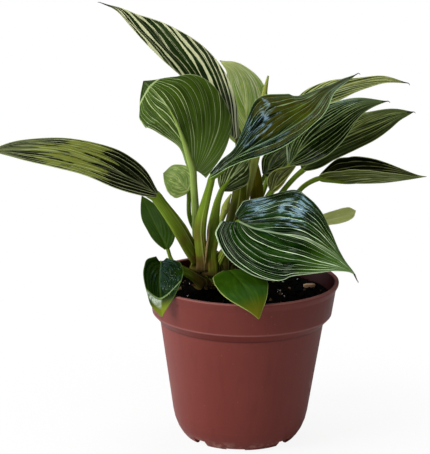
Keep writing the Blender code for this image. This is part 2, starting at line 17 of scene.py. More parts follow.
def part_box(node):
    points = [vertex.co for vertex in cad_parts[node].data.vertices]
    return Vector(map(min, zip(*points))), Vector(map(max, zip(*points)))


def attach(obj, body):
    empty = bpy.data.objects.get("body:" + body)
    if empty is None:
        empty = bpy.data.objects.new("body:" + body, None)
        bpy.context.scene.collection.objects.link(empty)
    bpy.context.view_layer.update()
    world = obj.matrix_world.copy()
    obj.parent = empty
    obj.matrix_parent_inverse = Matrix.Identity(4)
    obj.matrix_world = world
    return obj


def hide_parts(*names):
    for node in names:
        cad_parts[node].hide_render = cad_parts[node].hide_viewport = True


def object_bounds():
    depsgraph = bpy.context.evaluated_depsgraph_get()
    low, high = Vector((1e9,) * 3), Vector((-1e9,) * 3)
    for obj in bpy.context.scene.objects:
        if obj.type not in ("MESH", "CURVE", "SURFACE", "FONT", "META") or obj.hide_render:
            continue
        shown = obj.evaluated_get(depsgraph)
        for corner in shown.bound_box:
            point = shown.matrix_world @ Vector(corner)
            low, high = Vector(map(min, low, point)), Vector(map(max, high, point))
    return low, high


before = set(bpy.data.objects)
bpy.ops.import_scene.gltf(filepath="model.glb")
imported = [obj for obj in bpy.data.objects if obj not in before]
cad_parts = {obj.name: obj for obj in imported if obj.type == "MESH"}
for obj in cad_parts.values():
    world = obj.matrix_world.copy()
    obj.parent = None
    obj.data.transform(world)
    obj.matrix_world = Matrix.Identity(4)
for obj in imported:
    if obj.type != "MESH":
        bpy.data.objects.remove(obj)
LOW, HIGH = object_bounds()

MM = 0.001
TURN = 2 * math.pi
GAP = 0.3  # between a stalk and its stem
JOIN = 0.000004  # metres, for points that are one

# Pot, as radius and height
POT_HEIGHT = 88.0
RIM_RADIUS = 52.5
WALL = 1.2
LIP_HEIGHT = 4.2
LIP_DROP = 1.4  # how far down the lip stays upright
BAND_TOP_RADIUS = 51.0
BAND_LOW = (49.0, 69.8)
SHOULDER = (44.7, 65.2)
BODY_LOW = (37.2, 15.0)
HEEL = [(36.1, 10.0), (34.3, 5.5), (32.4, 2.4)]
FOOT_RADIUS = 30.4
FOOT_WIDTH = 2.0
GUTTER_DEPTH = 3.5
CENTRE_RADIUS = 20.0
POT_FLOOR = 1.6
POT_STEPS = 176
SHARP_DEG = 38.0

# Notches in the foot and holes in the gutter, which let water out
NOTCH_COUNT = 4
NOTCH_FIRST_DEG = -132.0
NOTCH_WIDTH = 8.0
NOTCH_LENGTH = 10.0
SHALLOW_TURN_DEG = 38.0
SHALLOW_HEIGHT = 0.8
HOLE_COUNT = 6
HOLE_RADIUS = 2.4
HOLE_RING = 24.4

SOIL_TOP = 79.0
SOIL_MOUND = 0.8
SOIL_SLACK = 0.8  # between the soil and the wall

# Two short stems, which carry the leaf stalks
STEMS = {"front": (-18, 8), "back": (-3, 24)}
STEM_TOP = 100.0
STEM_RADIUS = 3.2

LOBE_AT = 0.05  # share of the midrib
STATIONS = (0, 0.03, 0.08, 0.25, 0.45, 0.65, 0.85, 0.93, 1)
EDGE_THICK = 0.22
MIDDLE_THICK = 0.36  # on top of the edge's
RIB_WIDTH = 0.9
RIB_GROOVE = 0.3  # on the upper face
RIB_DEPTH = 0.5  # on the underside
NARROW = 0.4
WAVE = 0.4  # height of the slow wave at a blade's edge
UP_FRONT = [(-0.2, -0.8, 0.6), (0.1, -0.8, 0.6)]


def blade(midrib, facing, left, right, cup, cup_right=None, lobe=((0, 0), (0, 0)), stations=STATIONS):
    """A row of LEAVES. Pairs have the left half first."""
    return SimpleNamespace(midrib=midrib, facing=facing, wide=(left, right), cup=(cup, cup_right or cup),
                           lobe=lobe, stations=stations)


# Leaf blades: the midrib from base to tip, the way that the upper face looks at the base and the tip,
# half-widths at the stations, cup is the slope of a half at the midrib and its change towards the edge in
# degrees, and lobe is how far each half reaches back past the stalk, at the base and from LOBE_AT on.
LEAVES = {
    "front": blade([(-3.2, -16, 124), (6, -22, 121.5), (18, -30, 121), (33, -38, 120), (48, -44, 113),
        (57, -46, 105), (59.5, -46.5, 100.5)], UP_FRONT, (3.5, 10.5, 17.5, 33, 28, 13, 1.5, 0.6, 0),
        (3.5, 8.5, 14.5, 23.5, 24.5, 18, 6, 1, 0), (-10, -20), (-10, -15), lobe=((4, 12), (9, 15))),
    "big": blade([(-18, -12, 147), (-2, -21, 161), (17, -25, 172), (34, -23, 183.5), (43.5, -17, 194.5),
        (58, -11, 203)], [(-0.2, -0.8, 0.6), (0, -0.8, 0.5)],
        (2.5, 3.5, 5, 8, 20, 28, 29.5, 19.5, 3, 1.8, 0), (2, 3, 4, 9, 12.5, 15, 16, 10.5, 4, 2, 0),
        (-8, -15), (35, 15), stations=(0, 0.03, 0.08, 0.22, 0.3, 0.36, 0.45, 0.65, 0.85, 0.93, 1)),
    "centre": blade([(-28, 0, 148), (-33.5, -5, 167), (-39.5, -6, 180.5), (-47.5, 0, 188.5),
        (-55, 8, 194.5)], [(-0.25, 0.93, 0.2), (0, 0.95, 0)], (6, 10, 16, 27, 29, 24.5, 10.5, 4.5, 0),
        (2, 2.2, 2.5, 3.5, 12, 17.5, 14.5, 9, 0), (8, 10), lobe=((8, 8), (1, 1))),
    "tall": blade([(-4, 12, 163), (-13, 15, 183), (-27, 20, 199), (-44, 25, 210), (-61, 30, 221),
        (-71, 32, 229.5), (-80, 34, 233)], [(-0.5, -0.8, 0.2), (-0.3, -0.8, 0.4)],
        (1.5, 3, 5, 9, 8, 5, 1, 0.5, 0), (1.5, 3, 5, 11, 13, 11.5, 4.5, 1, 0), (8, 8)),
    "back": blade([(3, 30, 153), (1, 35, 168), (-2, 42, 182), (-7, 50, 193.5), (-15, 57, 199)],
        [(0.1, -0.95, 0.2), (0.1, -0.9, 0.4)], (1.5, 4, 8, 14, 15, 9.5, 3, 1.5, 0),
        (1.5, 3.5, 7, 12, 14, 12, 5, 2.2, 0), (5, 5)),
    "upper_right": blade([(22, 38, 163), (36, 45, 177), (55, 50, 186), (75, 54, 190), (91, 56, 188)],
        UP_FRONT, (1.5, 2.5, 4.5, 8, 7, 3.2, 2, 1, 0), (1.5, 3, 5, 7, 7, 5, 2, 0.8, 0), (8, 0)),
    "right_dark": blade([(24, 12, 149), (35, 11, 164), (49, 12, 175), (62, 15, 182), (77, 18, 184)],
        UP_FRONT, (1.5, 4, 8, 13, 13, 9, 3.5, 1.5, 0), (1.5, 3.5, 7, 13, 13, 8, 3, 1.25, 0), (-8, -10)),
    "right_striped": blade([(32, 25, 144), (44, 29, 155), (63, 33, 167), (80, 36, 174), (93, 37, 175)],
        UP_FRONT, (1.5, 4, 8, 12, 10, 6, 2.5, 1.25, 0), (1.5, 3.5, 6, 9, 11, 11, 6.5, 3.25, 0), (0, 0)),
    "right_low": blade([(41, 12, 143), (49, 9, 142), (58, 7, 141), (74, 4, 142), (87, 3, 144),
        (98, 2, 146)], [(0, -0.3, 0.95), (0, -0.3, 0.95)], (1.5, 4.5, 9, 14, 14, 10.5, 4, 1.5, 0),
        (1.5, 3, 6, 12, 13, 10, 4, 1.5, 0), (50, 0), (60, 0)),
    "small_right": blade([(32, 32, 111), (47, 36, 113), (56, 38, 115), (63, 39, 118)], [(-0.1, -0.8, 0.6),
        (0.1, -0.8, 0.6)], (1.2, 1.5, 2, 3, 4, 4.5, 4.2, 3.1, 0), (1.2, 1.5, 2, 3, 3.5, 4, 3.7, 2.7, 0),
        (10, 0)),
    "left_long": blade([(-46, -6, 135), (-58, -12, 144), (-76, -18, 154), (-97, -22, 161), (-118, -25, 163),
        (-134, -27, 162)], [(0.1, -0.8, 0.6), (0.1, -0.8, 0.6)], (1.5, 3, 5, 9, 9, 9, 5.5, 2.75, 0),
        (1.5, 3.5, 7, 12, 11, 8, 4.5, 2.25, 0), (0, -10)),
    "oval": blade([(-42, 19, 99), (-46, 17, 108), (-51, 15, 119), (-56, 14, 130)], [(-0.3, -0.9, 0.3),
        (-0.3, -0.9, 0.3)], (1.5, 2, 3, 5, 5.5, 5.5, 3, 1.5, 0), (1.5, 3, 5, 9, 10, 9, 4, 2, 0), (5, 5)),
    "low_left": blade([(-44, -14, 100), (-44, -26, 94), (-43, -35, 87), (-42, -41, 77)], [(0.1, -0.6, 0.8),
        (-0.4, -0.9, 0.1)], (3, 5.5, 9, 12.5, 14, 11.5, 5, 2, 0), (3, 4.5, 7, 9, 8.5, 7, 4.5, 2, 0),
        (10, 8), (15, 15), lobe=((3, 3), (3, 3))),
    "low_front": blade([(-7, -10, 95), (-2, -28, 95), (2, -44, 94), (6, -55, 89.5), (9, -59, 82)],
        [(0, -0.4, 0.9), (0.2, -0.95, 0.1)], (3, 5.5, 9, 14, 14, 11.5, 6.5, 3, 0),
        (3, 5.5, 9, 12.5, 13.5, 12, 6, 2.5, 0), (0, -10), (0, -6), lobe=((2, 2), (2, 2))),
    "mottled": blade([(-30.5, 26, 130.5), (-38, 28, 137), (-45, 30, 139.5)], [(0, -0.9, 0.4),
        (0.1, -0.9, 0.3)], (3, 4.5, 7, 9, 9, 8, 5, 2.5, 0), (3, 4.5, 7, 10, 10, 8, 5, 2.5, 0), (5, 10)),
    "under": blade([(-12, 1, 137), (-5, 3, 146), (2, 5, 154)], [(0.3, 0.9, 0.3), (0.3, 0.9, 0.3)],
        (1.5, 2.5, 4, 7, 9, 8, 4, 2, 0), (1.5, 2.5, 4, 7, 8, 7, 4, 2, 0), (5, 10)),
    "folded": blade([(15, 3, 136), (20, 1, 144), (28, -2, 152)], [(-0.3, -0.9, 0.3), (0.3, -0.9, 0.3)],
        (1.5, 2.5, 4, 6, 6, 4, 2, 1, 0), (1.5, 1.5, 2, 3, 3, 2, 1, 0.5, 0), (5, 10)),
    "behind": blade([(11, 27, 140), (19, 26, 150), (28, 24, 158)], [(-0.2, -0.9, 0.3), (0.2, -0.9, 0.3)],
        (1.5, 2.5, 4, 7, 7, 5, 3, 1.5, 0), (1.5, 2.5, 4, 7, 7, 5, 3, 1.5, 0), (0, -10)),
}

# Leaf stalks: the stem that carries each, the side of it that the stalk starts on in degrees, the height of
# that start, how far the stalk follows the stem, free points on the way to the leaf, and radii
STALKS = {
    "low_left": ("front", 228, 82.5, 1.5, [(-29, -3, 91), (-37, -9, 96)], (2.7, 2.1)),
    "low_front": ("front", 300, 82.5, 1.5, [(-11, -4, 89)], (1.7, 1.4)),
    "oval": ("front", 158, 82.5, 1.5, [(-31, 15, 86), (-39, 19, 92)], (1.3, 1)),
    "left_long": ("front", 174, 89, 6, [(-28.4, 3.5, 103), (-36, -3, 118)], (2.7, 2.8)),
    "centre": ("front", 112, 86, 8, [(-25, 9, 106), (-26, 6, 121), (-27, 2, 137)], (2, 1.8)),
    "big": ("front", 229, 91, 5, [(-22.5, 0.8, 102), (-23.4, -1, 111), (-23, -4, 120), (-21, -7, 130)],
        (2.3, 2.6, 1.7)),
    "front": ("front", 328, 88.5, 6, [(-10, -3, 104), (-6, -9, 114)], (2, 1.5)),
    "under": ("front", 279, 88.5, 6, [(-17.7, 2, 101.5), (-16.8, 2, 107), (-16.2, 1.5, 117),
        (-14.3, 0, 130)], (1.8, 2.2, 1.4)),
    "folded": ("front", 66, 87, 6, [(-6, 9, 108), (7, 6, 125)], (1.4, 1.1)),
    "small_right": ("back", 38, 82, 1.5, [(10, 29, 95), (22, 32, 106)], (1.3, 1)),
    "mottled": ("back", 160, 85, 6, [(-20.5, 25, 100), (-29.5, 26, 114)], (1.4, 1.2)),
    "tall": ("back", 208, 84, 8, [(-8, 17, 106), (-3, 14, 129), (-2, 12, 148)], (2.4, 3.2, 2)),
    "right_dark": ("back", 257, 84, 8, [(0, 15, 107), (9, 13, 124), (18, 12, 139)], (1.7, 1.3)),
    "back": ("back", 306, 84, 8, [(3, 19, 106), (7, 22, 125), (6, 27, 141)], (2.3, 3, 2)),
    "right_low": ("back", 353, 84, 4, [(10, 19, 103), (23, 14, 123), (32, 12, 137)], (1.7, 1.3)),
    "right_striped": ("back", 24, 90, 6, [(11, 24, 115), (20, 23, 130), (27, 23, 139)], (1.7, 1.4)),
    "upper_right": ("back", 72, 84, 8, [(3, 33, 108), (10, 35, 127), (17, 37, 147)], (1.7, 1.3)),
    "behind": ("back", 112, 84, 8, [(-2, 33, 108), (6, 31, 126)], (1.2, 1)),
}

# Rolled new leaves and a dry sheath, as points with a radius at each
SHOOTS = {
    "new_leaf_back": [(-3, 24, 100.6, 1.6), (0, 22, 120, 1.5), (5, 18, 145, 1.7), (8, 16, 165, 2.3),
        (9.5, 16, 180, 2.8), (10.5, 16.5, 189, 2.2), (12, 17, 197, 0.5)],
    "new_leaf_front": [(-18, 8, 100.7, 1), (-14, 10, 112, 0.9), (-11, 10, 121, 1.3), (-9, 10, 128, 2.2),
        (-7, 9, 133, 0.4)],
    "dry_sheath": [(-20.4, -0.6, 95, 0.4), (-19.6, -1.2, 104, 0.7), (-18.8, -1.6, 112, 0.6),
        (-18.2, -2.2, 120, 0.3)],
}

# How each drip tip goes on from its leaf
TAILS = {
    "front": [(0.4, 0, -0.3), (0.5, 0, -1.2)],
    "big": [(0.9, 0, 0.5), (1.8, 0, -0.2)],
    "right_dark": [(0.6, 0, -0.2), (1.2, 0, -0.8)],
    "right_striped": [(0.5, 0, -0.2), (1, 0, -0.7)],
    "upper_right": [(0.6, 0, -0.5), (0.9, 0, -1.2)],
    "tall": [(-0.8, 0, 0.2), (-1.6, 0, 0.2)],
}

# Stalks: flat is how broad the stalk is against its depth, even keeps it so nearly up to the leaf, swell
# widens its base into a sheath, and reach is how far it runs on as the midrib. low and high are the colours
# near the soil and above, and pale the strength of lighter lines.
STALK_LOOKS = {
    "left_long": dict(flat=1.6, swell=0.25, low=(0.12, 0.14, 0.008)),
    "low_left": dict(flat=1.45, swell=0.5, low=(0.09, 0.1, 0.006)),
    "big": dict(flat=1.35, swell=0.3),
    "under": dict(flat=1.6, swell=0.6),
    "front": dict(flat=1.3, swell=0.3),
    "right_dark": dict(flat=1.4),
    "centre": dict(flat=1.2, reach=0.6, high=(0.26, 0.36, 0.09)),
    "tall": dict(flat=1.5, even=True, swell=0.1, low=(0.05, 0.055, 0.001), high=(0.05, 0.055, 0.001),
        pale=0.12),
    "back": dict(flat=1.4, even=True, swell=0.1, low=(0.09, 0.075, 0.002), high=(0.1, 0.085, 0.002),
        pale=0.12),
}

# Leaves. Shape: grid is the number of steps along and across, lines the number of main veins in each half,
# right_share how many of them the right half has, gather how far they crowd towards the base, fan and radial
# how many leave for the edge or run straight from the base, one_sided has them cross the whole blade, swell
# and pucker are the heights between veins and of ripples along them.
# Veins: bold is the width of main ones, pale and minor the strength of main and finer ones, crowded, early
# and weak what is left of that where they crowd, at the base and on the left half.
# Colour: dark, light and stripe, end towards the tip from and to late, cream the share of cream bands at
# base, middle and tip, bands their number for each vein, patch the same for patches of patch_colour, streak
# the strength of fine streaks, root of a green tint at the base, rib and rim of a pale midrib and edge, tip
# where the brown tip starts, under and under_pale the underside, fold where a corner is folded back.
BASE = dict(grid=(56, 16), right_share=1, gather=0.5, fan=0, radial=0, one_sided=False, swell=0.12,
            pucker=0, crowded=0.35, early=0.6, weak=1, cream=None, bands=2, patch=None, patch_colour=None,
            root=0, rib=0.3, tip=0.96, under=None, under_pale=0.8, fold=0, cupped=False)
PLAIN = dict(BASE, lines=8, bold=0.8, pale=0.1, minor=0.05, streak=0.05, dark=(0.014, 0.046, 0.001),
             light=(0.024, 0.072, 0.002), stripe=(0.1, 0.18, 0.025), end=(0.05, 0.085, 0.003),
             late=(0.8, 1.2), rough=0.4, shine=0.15, rim=0.6)
STRIPED = dict(BASE, lines=11, bold=0.75, pale=0.8, minor=0.25, streak=0.3, dark=(0.002, 0.012, 0.001),
               light=(0.016, 0.036, 0.002), stripe=(0.3, 0.4, 0.18), end=(0.03, 0.06, 0.004),
               late=(0.7, 1.2), rough=0.2, shine=0.5, rim=0.8)
LOOKS = {
    "front": dict(STRIPED, lines=10, gather=0.13, fan=0.25, bold=0.42, pale=1.1, minor=0.08, streak=0.12,
        dark=(0.0004, 0.005, 0.0003), light=(0.009, 0.036, 0.001), stripe=(0.66, 0.84, 0.5),
        end=(0.06, 0.15, 0.006), late=(0.5, 0.98), rough=0.17, rib=0.4, rim=0.6, grid=(110, 34), early=0.12,
        crowded=0.13, weak=0.8, pucker=0.22),
    "big": dict(STRIPED, lines=9, gather=0.3, bold=0.38, pale=1, minor=0.05, streak=0.03,
        dark=(0.0005, 0.002, 0.0003), light=(0.005, 0.013, 0.001), stripe=(0.34, 0.52, 0.22),
        end=(0.085, 0.11, 0.003), late=(0.45, 0.8), rough=0.15, shine=0.35, grid=(110, 34), right_share=0.5,
        early=0.15, crowded=0.06, weak=0.45, patch=(-0.4, 0.06, 0.3), patch_colour=(0.032, 0.033, 0.002),
        pucker=0.22),
    "centre": dict(STRIPED, lines=18, gather=0.1, fan=0.35, bold=0.65, stripe=(0.32, 0.5, 0.12), rim=0.7,
        grid=(96, 30), radial=0.5, early=1.2, crowded=0.7, under=(0.035, 0.07, 0.003), under_pale=1,
        root=0.8, fold=0.9),
    "tall": dict(STRIPED, lines=14, gather=0.35, fan=0.84, bold=0.5, minor=0.1, cream=(0.2, 0.32, 0.44),
        bands=1, streak=0.1, dark=(0.004, 0.012, 0.001), light=(0.014, 0.034, 0.003),
        stripe=(0.5, 0.52, 0.29), end=(0.012, 0.025, 0.003), rough=0.4, shine=0.15, grid=(120, 36),
        one_sided=True, crowded=0.1, tip=0.88),
    # leaf_back is a pale leaf, and its very light colours also hold painted light, standing in for light
    # that shines through it from behind
    "back": dict(STRIPED, bold=0.9, minor=0.5, streak=0.5, dark=(0.24, 0.4, 0.05), light=(0.64, 0.77, 0.2),
        stripe=(0.92, 0.95, 0.6), end=(0.38, 0.44, 0.1), late=(0.6, 1), rough=0.45, shine=0.1,
        under=(0.38, 0.5, 0.13)),
    "upper_right": dict(STRIPED, lines=6, fan=0.75, cream=(0.25, 0.3, 0.4), dark=(0.022, 0.036, 0.003),
        light=(0.1, 0.125, 0.011), stripe=(0.5, 0.55, 0.2), end=(0.12, 0.13, 0.012), rough=0.35, shine=0.2),
    "right_dark": dict(STRIPED, lines=9, gather=0.2, fan=0.2, bold=0.42, pale=0.85, streak=0.12,
        dark=(0.002, 0.008, 0.001), light=(0.012, 0.022, 0.001), stripe=(0.34, 0.46, 0.16), shine=0.35,
        rim=1, pucker=0.2),
    "right_striped": dict(STRIPED, lines=9, pale=0.9, dark=(0.01, 0.02, 0.001), light=(0.04, 0.06, 0.004),
        stripe=(0.3, 0.36, 0.1), rough=0.3, shine=0.3, pucker=0.12),
    "right_low": dict(STRIPED, lines=9, pale=0.55, minor=0.05, streak=0.05, dark=(0.002, 0.005, 0.0005),
        light=(0.016, 0.018, 0.001), stripe=(0.42, 0.46, 0.16), rough=0.35, shine=0.1, rim=1,
        under=(0.065, 0.085, 0.004)),
    "small_right": dict(PLAIN, streak=0.4, dark=(0.5, 0.56, 0.16), light=(0.76, 0.8, 0.34),
        stripe=(0.85, 0.86, 0.6), end=(0.5, 0.54, 0.18), under=(0.56, 0.6, 0.2), tip=0.99),
    "left_long": dict(STRIPED, lines=8, gather=0.3, bold=0.36, pale=0.75, minor=0.1, streak=0.12,
        dark=(0.001, 0.003, 0.0003), light=(0.006, 0.008, 0.001), stripe=(0.46, 0.52, 0.24),
        end=(0.01, 0.02, 0.001), late=(0.9, 1.4), rough=0.3, shine=0.2, grid=(96, 24),
        patch=(-0.3, 0.1, -0.08), patch_colour=(0.19, 0.22, 0.032), early=1.1, crowded=0.5, pucker=0.12),
    "oval": dict(PLAIN, streak=0, dark=(0.018, 0.05, 0.001), light=(0.03, 0.075, 0.002)),
    "low_left": dict(PLAIN, dark=(0.003, 0.012, 0.001), light=(0.009, 0.028, 0.001), end=(0.16, 0.2, 0.012),
        late=(0.72, 0.9), rough=0.25, grid=(64, 24), tip=0.985, cupped=True),
    "low_front": dict(PLAIN, lines=5, pale=0.02, minor=0, dark=(0.018, 0.06, 0.001),
        light=(0.034, 0.09, 0.002), stripe=(0.36, 0.42, 0.12), end=(0.12, 0.12, 0.005), late=(0.72, 0.98),
        shine=0.08, rib=0.05, rim=0.8, grid=(64, 24), swell=0.04, tip=0.985),
    "mottled": dict(STRIPED, lines=7, pale=0.35, streak=0.6, dark=(0.16, 0.26, 0.05),
        light=(0.54, 0.64, 0.2), stripe=(0.55, 0.62, 0.3), rough=0.4, shine=0.2, under=(0.27, 0.36, 0.1)),
    # leaf_under's colours are darkened as painted shade, for the shade it lies in under leaf_big
    "under": dict(STRIPED, lines=12, fan=0.4, pale=0.42, dark=(0.005, 0.012, 0.001),
        light=(0.02, 0.034, 0.002), stripe=(0.15, 0.21, 0.04), rough=0.4, shine=0.15, radial=0.8,
        under=(0.016, 0.028, 0.001)),
    "folded": dict(STRIPED, lines=7, dark=(0.02, 0.026, 0.001), light=(0.07, 0.085, 0.004),
        stripe=(0.34, 0.38, 0.1), shine=0.15, radial=0.6, under=(0.05, 0.06, 0.003)),
    "behind": dict(STRIPED, lines=8, stripe=(0.26, 0.34, 0.1), under=(0.03, 0.045, 0.002)),
}

# Loose grains on the soil: number, sizes, seed, spread, and a material with its dark and light colours and
# its roughness
GRAINS = {
    "soil_crumbs": (620, (0.35, 1.3), 3, 46, "dark_crumbs",
        (0.0006, 0.0005, 0.0004), (0.008, 0.006, 0.004), 0.85),
    "bark_bits": (60, (0.5, 1.4), 8, 44, "bark_bits", (0.05, 0.03, 0.018), (0.22, 0.13, 0.07), 0.85),
    "perlite_grains": (36, (0.4, 0.9), 21, 44, "perlite", (0.55, 0.54, 0.5), (0.8, 0.79, 0.76), 0.9),
}

# Lamps: place, target and size in metres, power, colour, and whether they light what is matt and what is
# glossy
MIDDLE = (0, 0, 0.12)
WHITE = (1, 1, 1)
SKY = (0.5, 0.8, 1)
LAMPS = {
    "left_key": ((-0.8, -0.5, 0.55), MIDDLE, 0.5, 10.5, WHITE, True, False),
    "front_fill": ((0.35, -1.1, 0.35), MIDDLE, 0.8, 2.2, WHITE, True, False),
    "left_window": ((-0.97, 0.26, 0.12), (0, 0, 0.05), 0.5, 4.6, (1, 1.08, 1.25), True, True),
    "top_back": ((0.05, 0.28, 0.8), (0, 0, 0.15), 0.4, 2.5, WHITE, True, False),
    "sky_back": ((-0.22, 0.48, 1.28), MIDDLE, 0.4, 4, SKY, False, True),
    "sky_left": ((-0.87, 0.15, 1.03), MIDDLE, 0.22, 1.6, SKY, False, True),
    "sky_strip": ((-0.68, 0.57, 1.03), MIDDLE, 0.2, 0.4, SKY, False, True),
}
AMBIENT = 0.12
FLOOR_RADIUS = 1.4  # of the stage, in metres
FLOOR_DROP = 0.0003
BUMPS = 0.0003  # height of fine bumps, in metres

# Camera: a long lens a little above the rim, with its place in metres
LENS = 145.4
SENSOR = 36.0
CAMERA_AT = Vector((0, -0.96502, 0.35019))
CAMERA_TARGET = Vector((-0.015373, 0, 0.116547))
ROLL_DEG = 0.8

# What each vertex of a leaf tells its material: the vein that it lies on, the place across (left half
# negative) and along, and millimetres from the midrib, from the edge and between veins
LAYERS = ("vein", "across", "along", "middle_mm", "edge_mm", "space_mm")


def lengths_along(points):
    """How far along its line each point lies."""
    return np.concatenate([[0], np.cumsum(np.linalg.norm(np.diff(points, axis=0), axis=1))])


def smooth_curve(points, count):
    """Evenly spaced points along a Catmull-Rom curve through the given ones."""
    ends = np.array(points, float)
    ends = np.vstack([2 * ends[0] - ends[1], ends, 2 * ends[-1] - ends[-2]])
    t = np.linspace(0, 1, 24, endpoint=False)[:, None]
    fine = [0.5 * (2 * b + (c - a) * t + (2 * a - 5 * b + 4 * c - d) * t**2 + (3 * b - a - 3 * c + d) * t**3)
            for a, b, c, d in zip(ends, ends[1:], ends[2:], ends[3:])]
    fine = np.vstack(fine + [ends[-2:-1]])
    run = lengths_along(fine)
    wanted = np.linspace(0, run[-1], count)
    return np.stack([np.interp(wanted, run, axis) for axis in fine.T], axis=1)


def width_at(leaf, side, t):
    """Half-width at t, on a smooth cubic through the widths at the leaf's stations."""
    x, y = np.array(leaf.stations), np.array(leaf.wide[side], float)
    slope = np.gradient(y, x)
    i = np.clip(np.searchsorted(x, t, side="right") - 1, 0, len(x) - 2)
    h = x[i + 1] - x[i]
    s = (t - x[i]) / h
    value = ((2 * s**3 - 3 * s**2 + 1) * y[i] + (s**3 - 2 * s**2 + s) * h * slope[i]
             + (3 * s**2 - 2 * s**3) * y[i + 1] + (s**3 - s**2) * h * slope[i + 1])
    return np.maximum(value, 0)


def unit(vectors):
    """The same vectors with length 1."""
    return vectors / np.maximum(np.linalg.norm(vectors, axis=-1, keepdims=True), 1e-9)


def blade_frame(leaf, count):
    """Midrib points with the tangent, the upper face's normal and the way to the right."""
    middle = smooth_curve(leaf.midrib, count)
    tangent = unit(np.gradient(middle, axis=0))
    base, tip = (np.array(f, float) for f in leaf.facing)
    t = np.linspace(0, 1, count)[:, None]
    normal = base * (1 - t) + tip * t
    normal = unit(normal - (normal * tangent).sum(axis=1)[:, None] * tangent)
    return middle, tangent, normal, np.cross(tangent, normal)


def blade_surface(leaf, along, across):
    """Points of the blade's middle surface: rows from the left edge to the right edge."""
    middle, tangent, normal, right = blade_frame(leaf, along + 1)
    t = np.linspace(0, 1, along + 1)
    rows = []
    for j in range(-across, across + 1):
        side = int(j > 0)
        u = abs(j) / across
        slope, bend = leaf.cup[side]
        steps = np.linspace(0, u, 9)
        angle = np.radians(slope + bend * steps)
        out = np.trapz(np.cos(angle), steps) * (1 if side else -1)
        up = np.trapz(np.sin(angle), steps)
        width = width_at(leaf, side, t)[:, None]
        first, further = leaf.lobe[side]
        back = (first + (further - first) * np.minimum(t / LOBE_AT, 1)) * u**1.5 * (1 - t)**3
        rows.append(middle + right * width * out + normal * width * up - tangent * back[:, None])
    return np.array(rows)


def vein_fan(surface, facing, lines):
    """Vein numbers and their spacing for veins that run straight out from the base like a fan."""
    middle = surface[len(surface) // 2]
    forward = unit(middle[-1] - middle[0])
    outward = unit(np.cross(forward, facing[len(facing) // 2]))
    reach = surface - middle[0] + forward * 3
    angle = np.arctan2(np.abs(reach @ outward), reach @ forward)
    limit = math.radians(105)
    return np.clip(1 - angle / limit, 0, 1), np.linalg.norm(reach, axis=2) * limit / lines


def quads(rows, columns, ring=False):
    """Faces of a grid of vertices in rows. With ring, the end of each row joins its start."""
    faces = []
    for i in range(rows - 1):
        for j in range(columns if ring else columns - 1):
            a, b = i * columns + j, i * columns + (j + 1) % columns
            faces.append((a, b, b + columns, a + columns))
    return faces


def give(mesh, name, values):
    """A number for each vertex, which the material reads by name."""
    layer = mesh.attributes.new(name, "FLOAT", "POINT")
    layer.data.foreach_set("value", np.asarray(values, np.float32).ravel())


def new_mesh(name, points, faces):
    """A mesh from points in millimetres."""
    mesh = bpy.data.meshes.new(name)
    mesh.from_pydata(np.asarray(points) * MM, [], faces)
    return mesh


@contextmanager
def editing(mesh):
    """A bmesh of the mesh, which is written back at the end."""
    shape = bmesh.new()
    shape.from_mesh(mesh)
    yield shape
    shape.to_mesh(mesh)
    shape.free()


def new_piece(name, mesh, node=None):
    """An object of the part, in place of a CAD node if one is named."""
    piece = bpy.data.objects.new(name, mesh)
    bpy.context.scene.collection.objects.link(piece)
    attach(piece, "root")
    if node:
        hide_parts(node)
    return piece


def tidy_mesh(mesh):
    """Join the points that meet at a tip or on the axis, and shade the mesh smoothly."""
    with editing(mesh) as shape:
        bmesh.ops.remove_doubles(shape, verts=shape.verts, dist=JOIN)
        bmesh.ops.dissolve_degenerate(shape, edges=shape.edges, dist=JOIN)
        bmesh.ops.recalc_face_normals(shape, faces=shape.faces)
    mesh.shade_smooth()


def ripple(seed, t):
    """A slow smooth wave along the blade, different for each seed."""
    rng = random.Random(seed)
    value = np.zeros_like(t)
    for k in (1.7, 2.9, 4.3):
        value += math.sin(rng.uniform(0, 6.28)) * np.sin(k * 6.28 * t + rng.uniform(0, 6.28)) / k
    return value


def vein_layer(surface, facing, look, t, u, width):
    """The vein that each place lies on, from 0 at the edge on towards the midrib and the tip, and the
    millimetres between veins there."""
    outward = 1 - look.fan * t
    vein = (1 - u * outward) * np.maximum(t, 1e-9)**look.gather
    space = width / (look.lines * np.maximum(t, 0.02)**look.gather * outward)
    if look.radial:
        spread, gap = vein_fan(surface, facing, look.lines)
        vein = look.radial * spread + (1 - look.radial) * vein
        space = look.radial * gap + (1 - look.radial) * space
    return vein, space


def blade_normals(surface, facing, width):
    """Normals of the upper face. The narrow tip takes them from the midrib."""
    normal = unit(np.cross(np.gradient(surface, axis=1), np.gradient(surface, axis=0)))
    turned = np.sign((normal * facing[None]).sum(axis=2))
    normal = normal * np.where(turned == 0, 1, turned)[..., None]
    return np.where((width < NARROW)[..., None], facing[None], normal)


def closed_sheet(name, top, under):
    """A mesh with an upper and a lower face and edges between, and how many quads each face has."""
    columns, count = top.shape[:2]
    size = columns * count
    sheet = quads(columns, count)
    faces = sheet + [tuple(k + size for k in face[::-1]) for face in sheet]
    ends = [(i * count, (i + 1) * count) for i in range(columns - 1)]
    sides = [(k, k + 1) for edge in (0, size - count) for k in range(edge, edge + count - 1)]
    faces += [(a, b, b + size, a + size) for a, b in ends + sides]
    return new_mesh(name, np.concatenate([top, under]).reshape(-1, 3), faces), len(sheet)


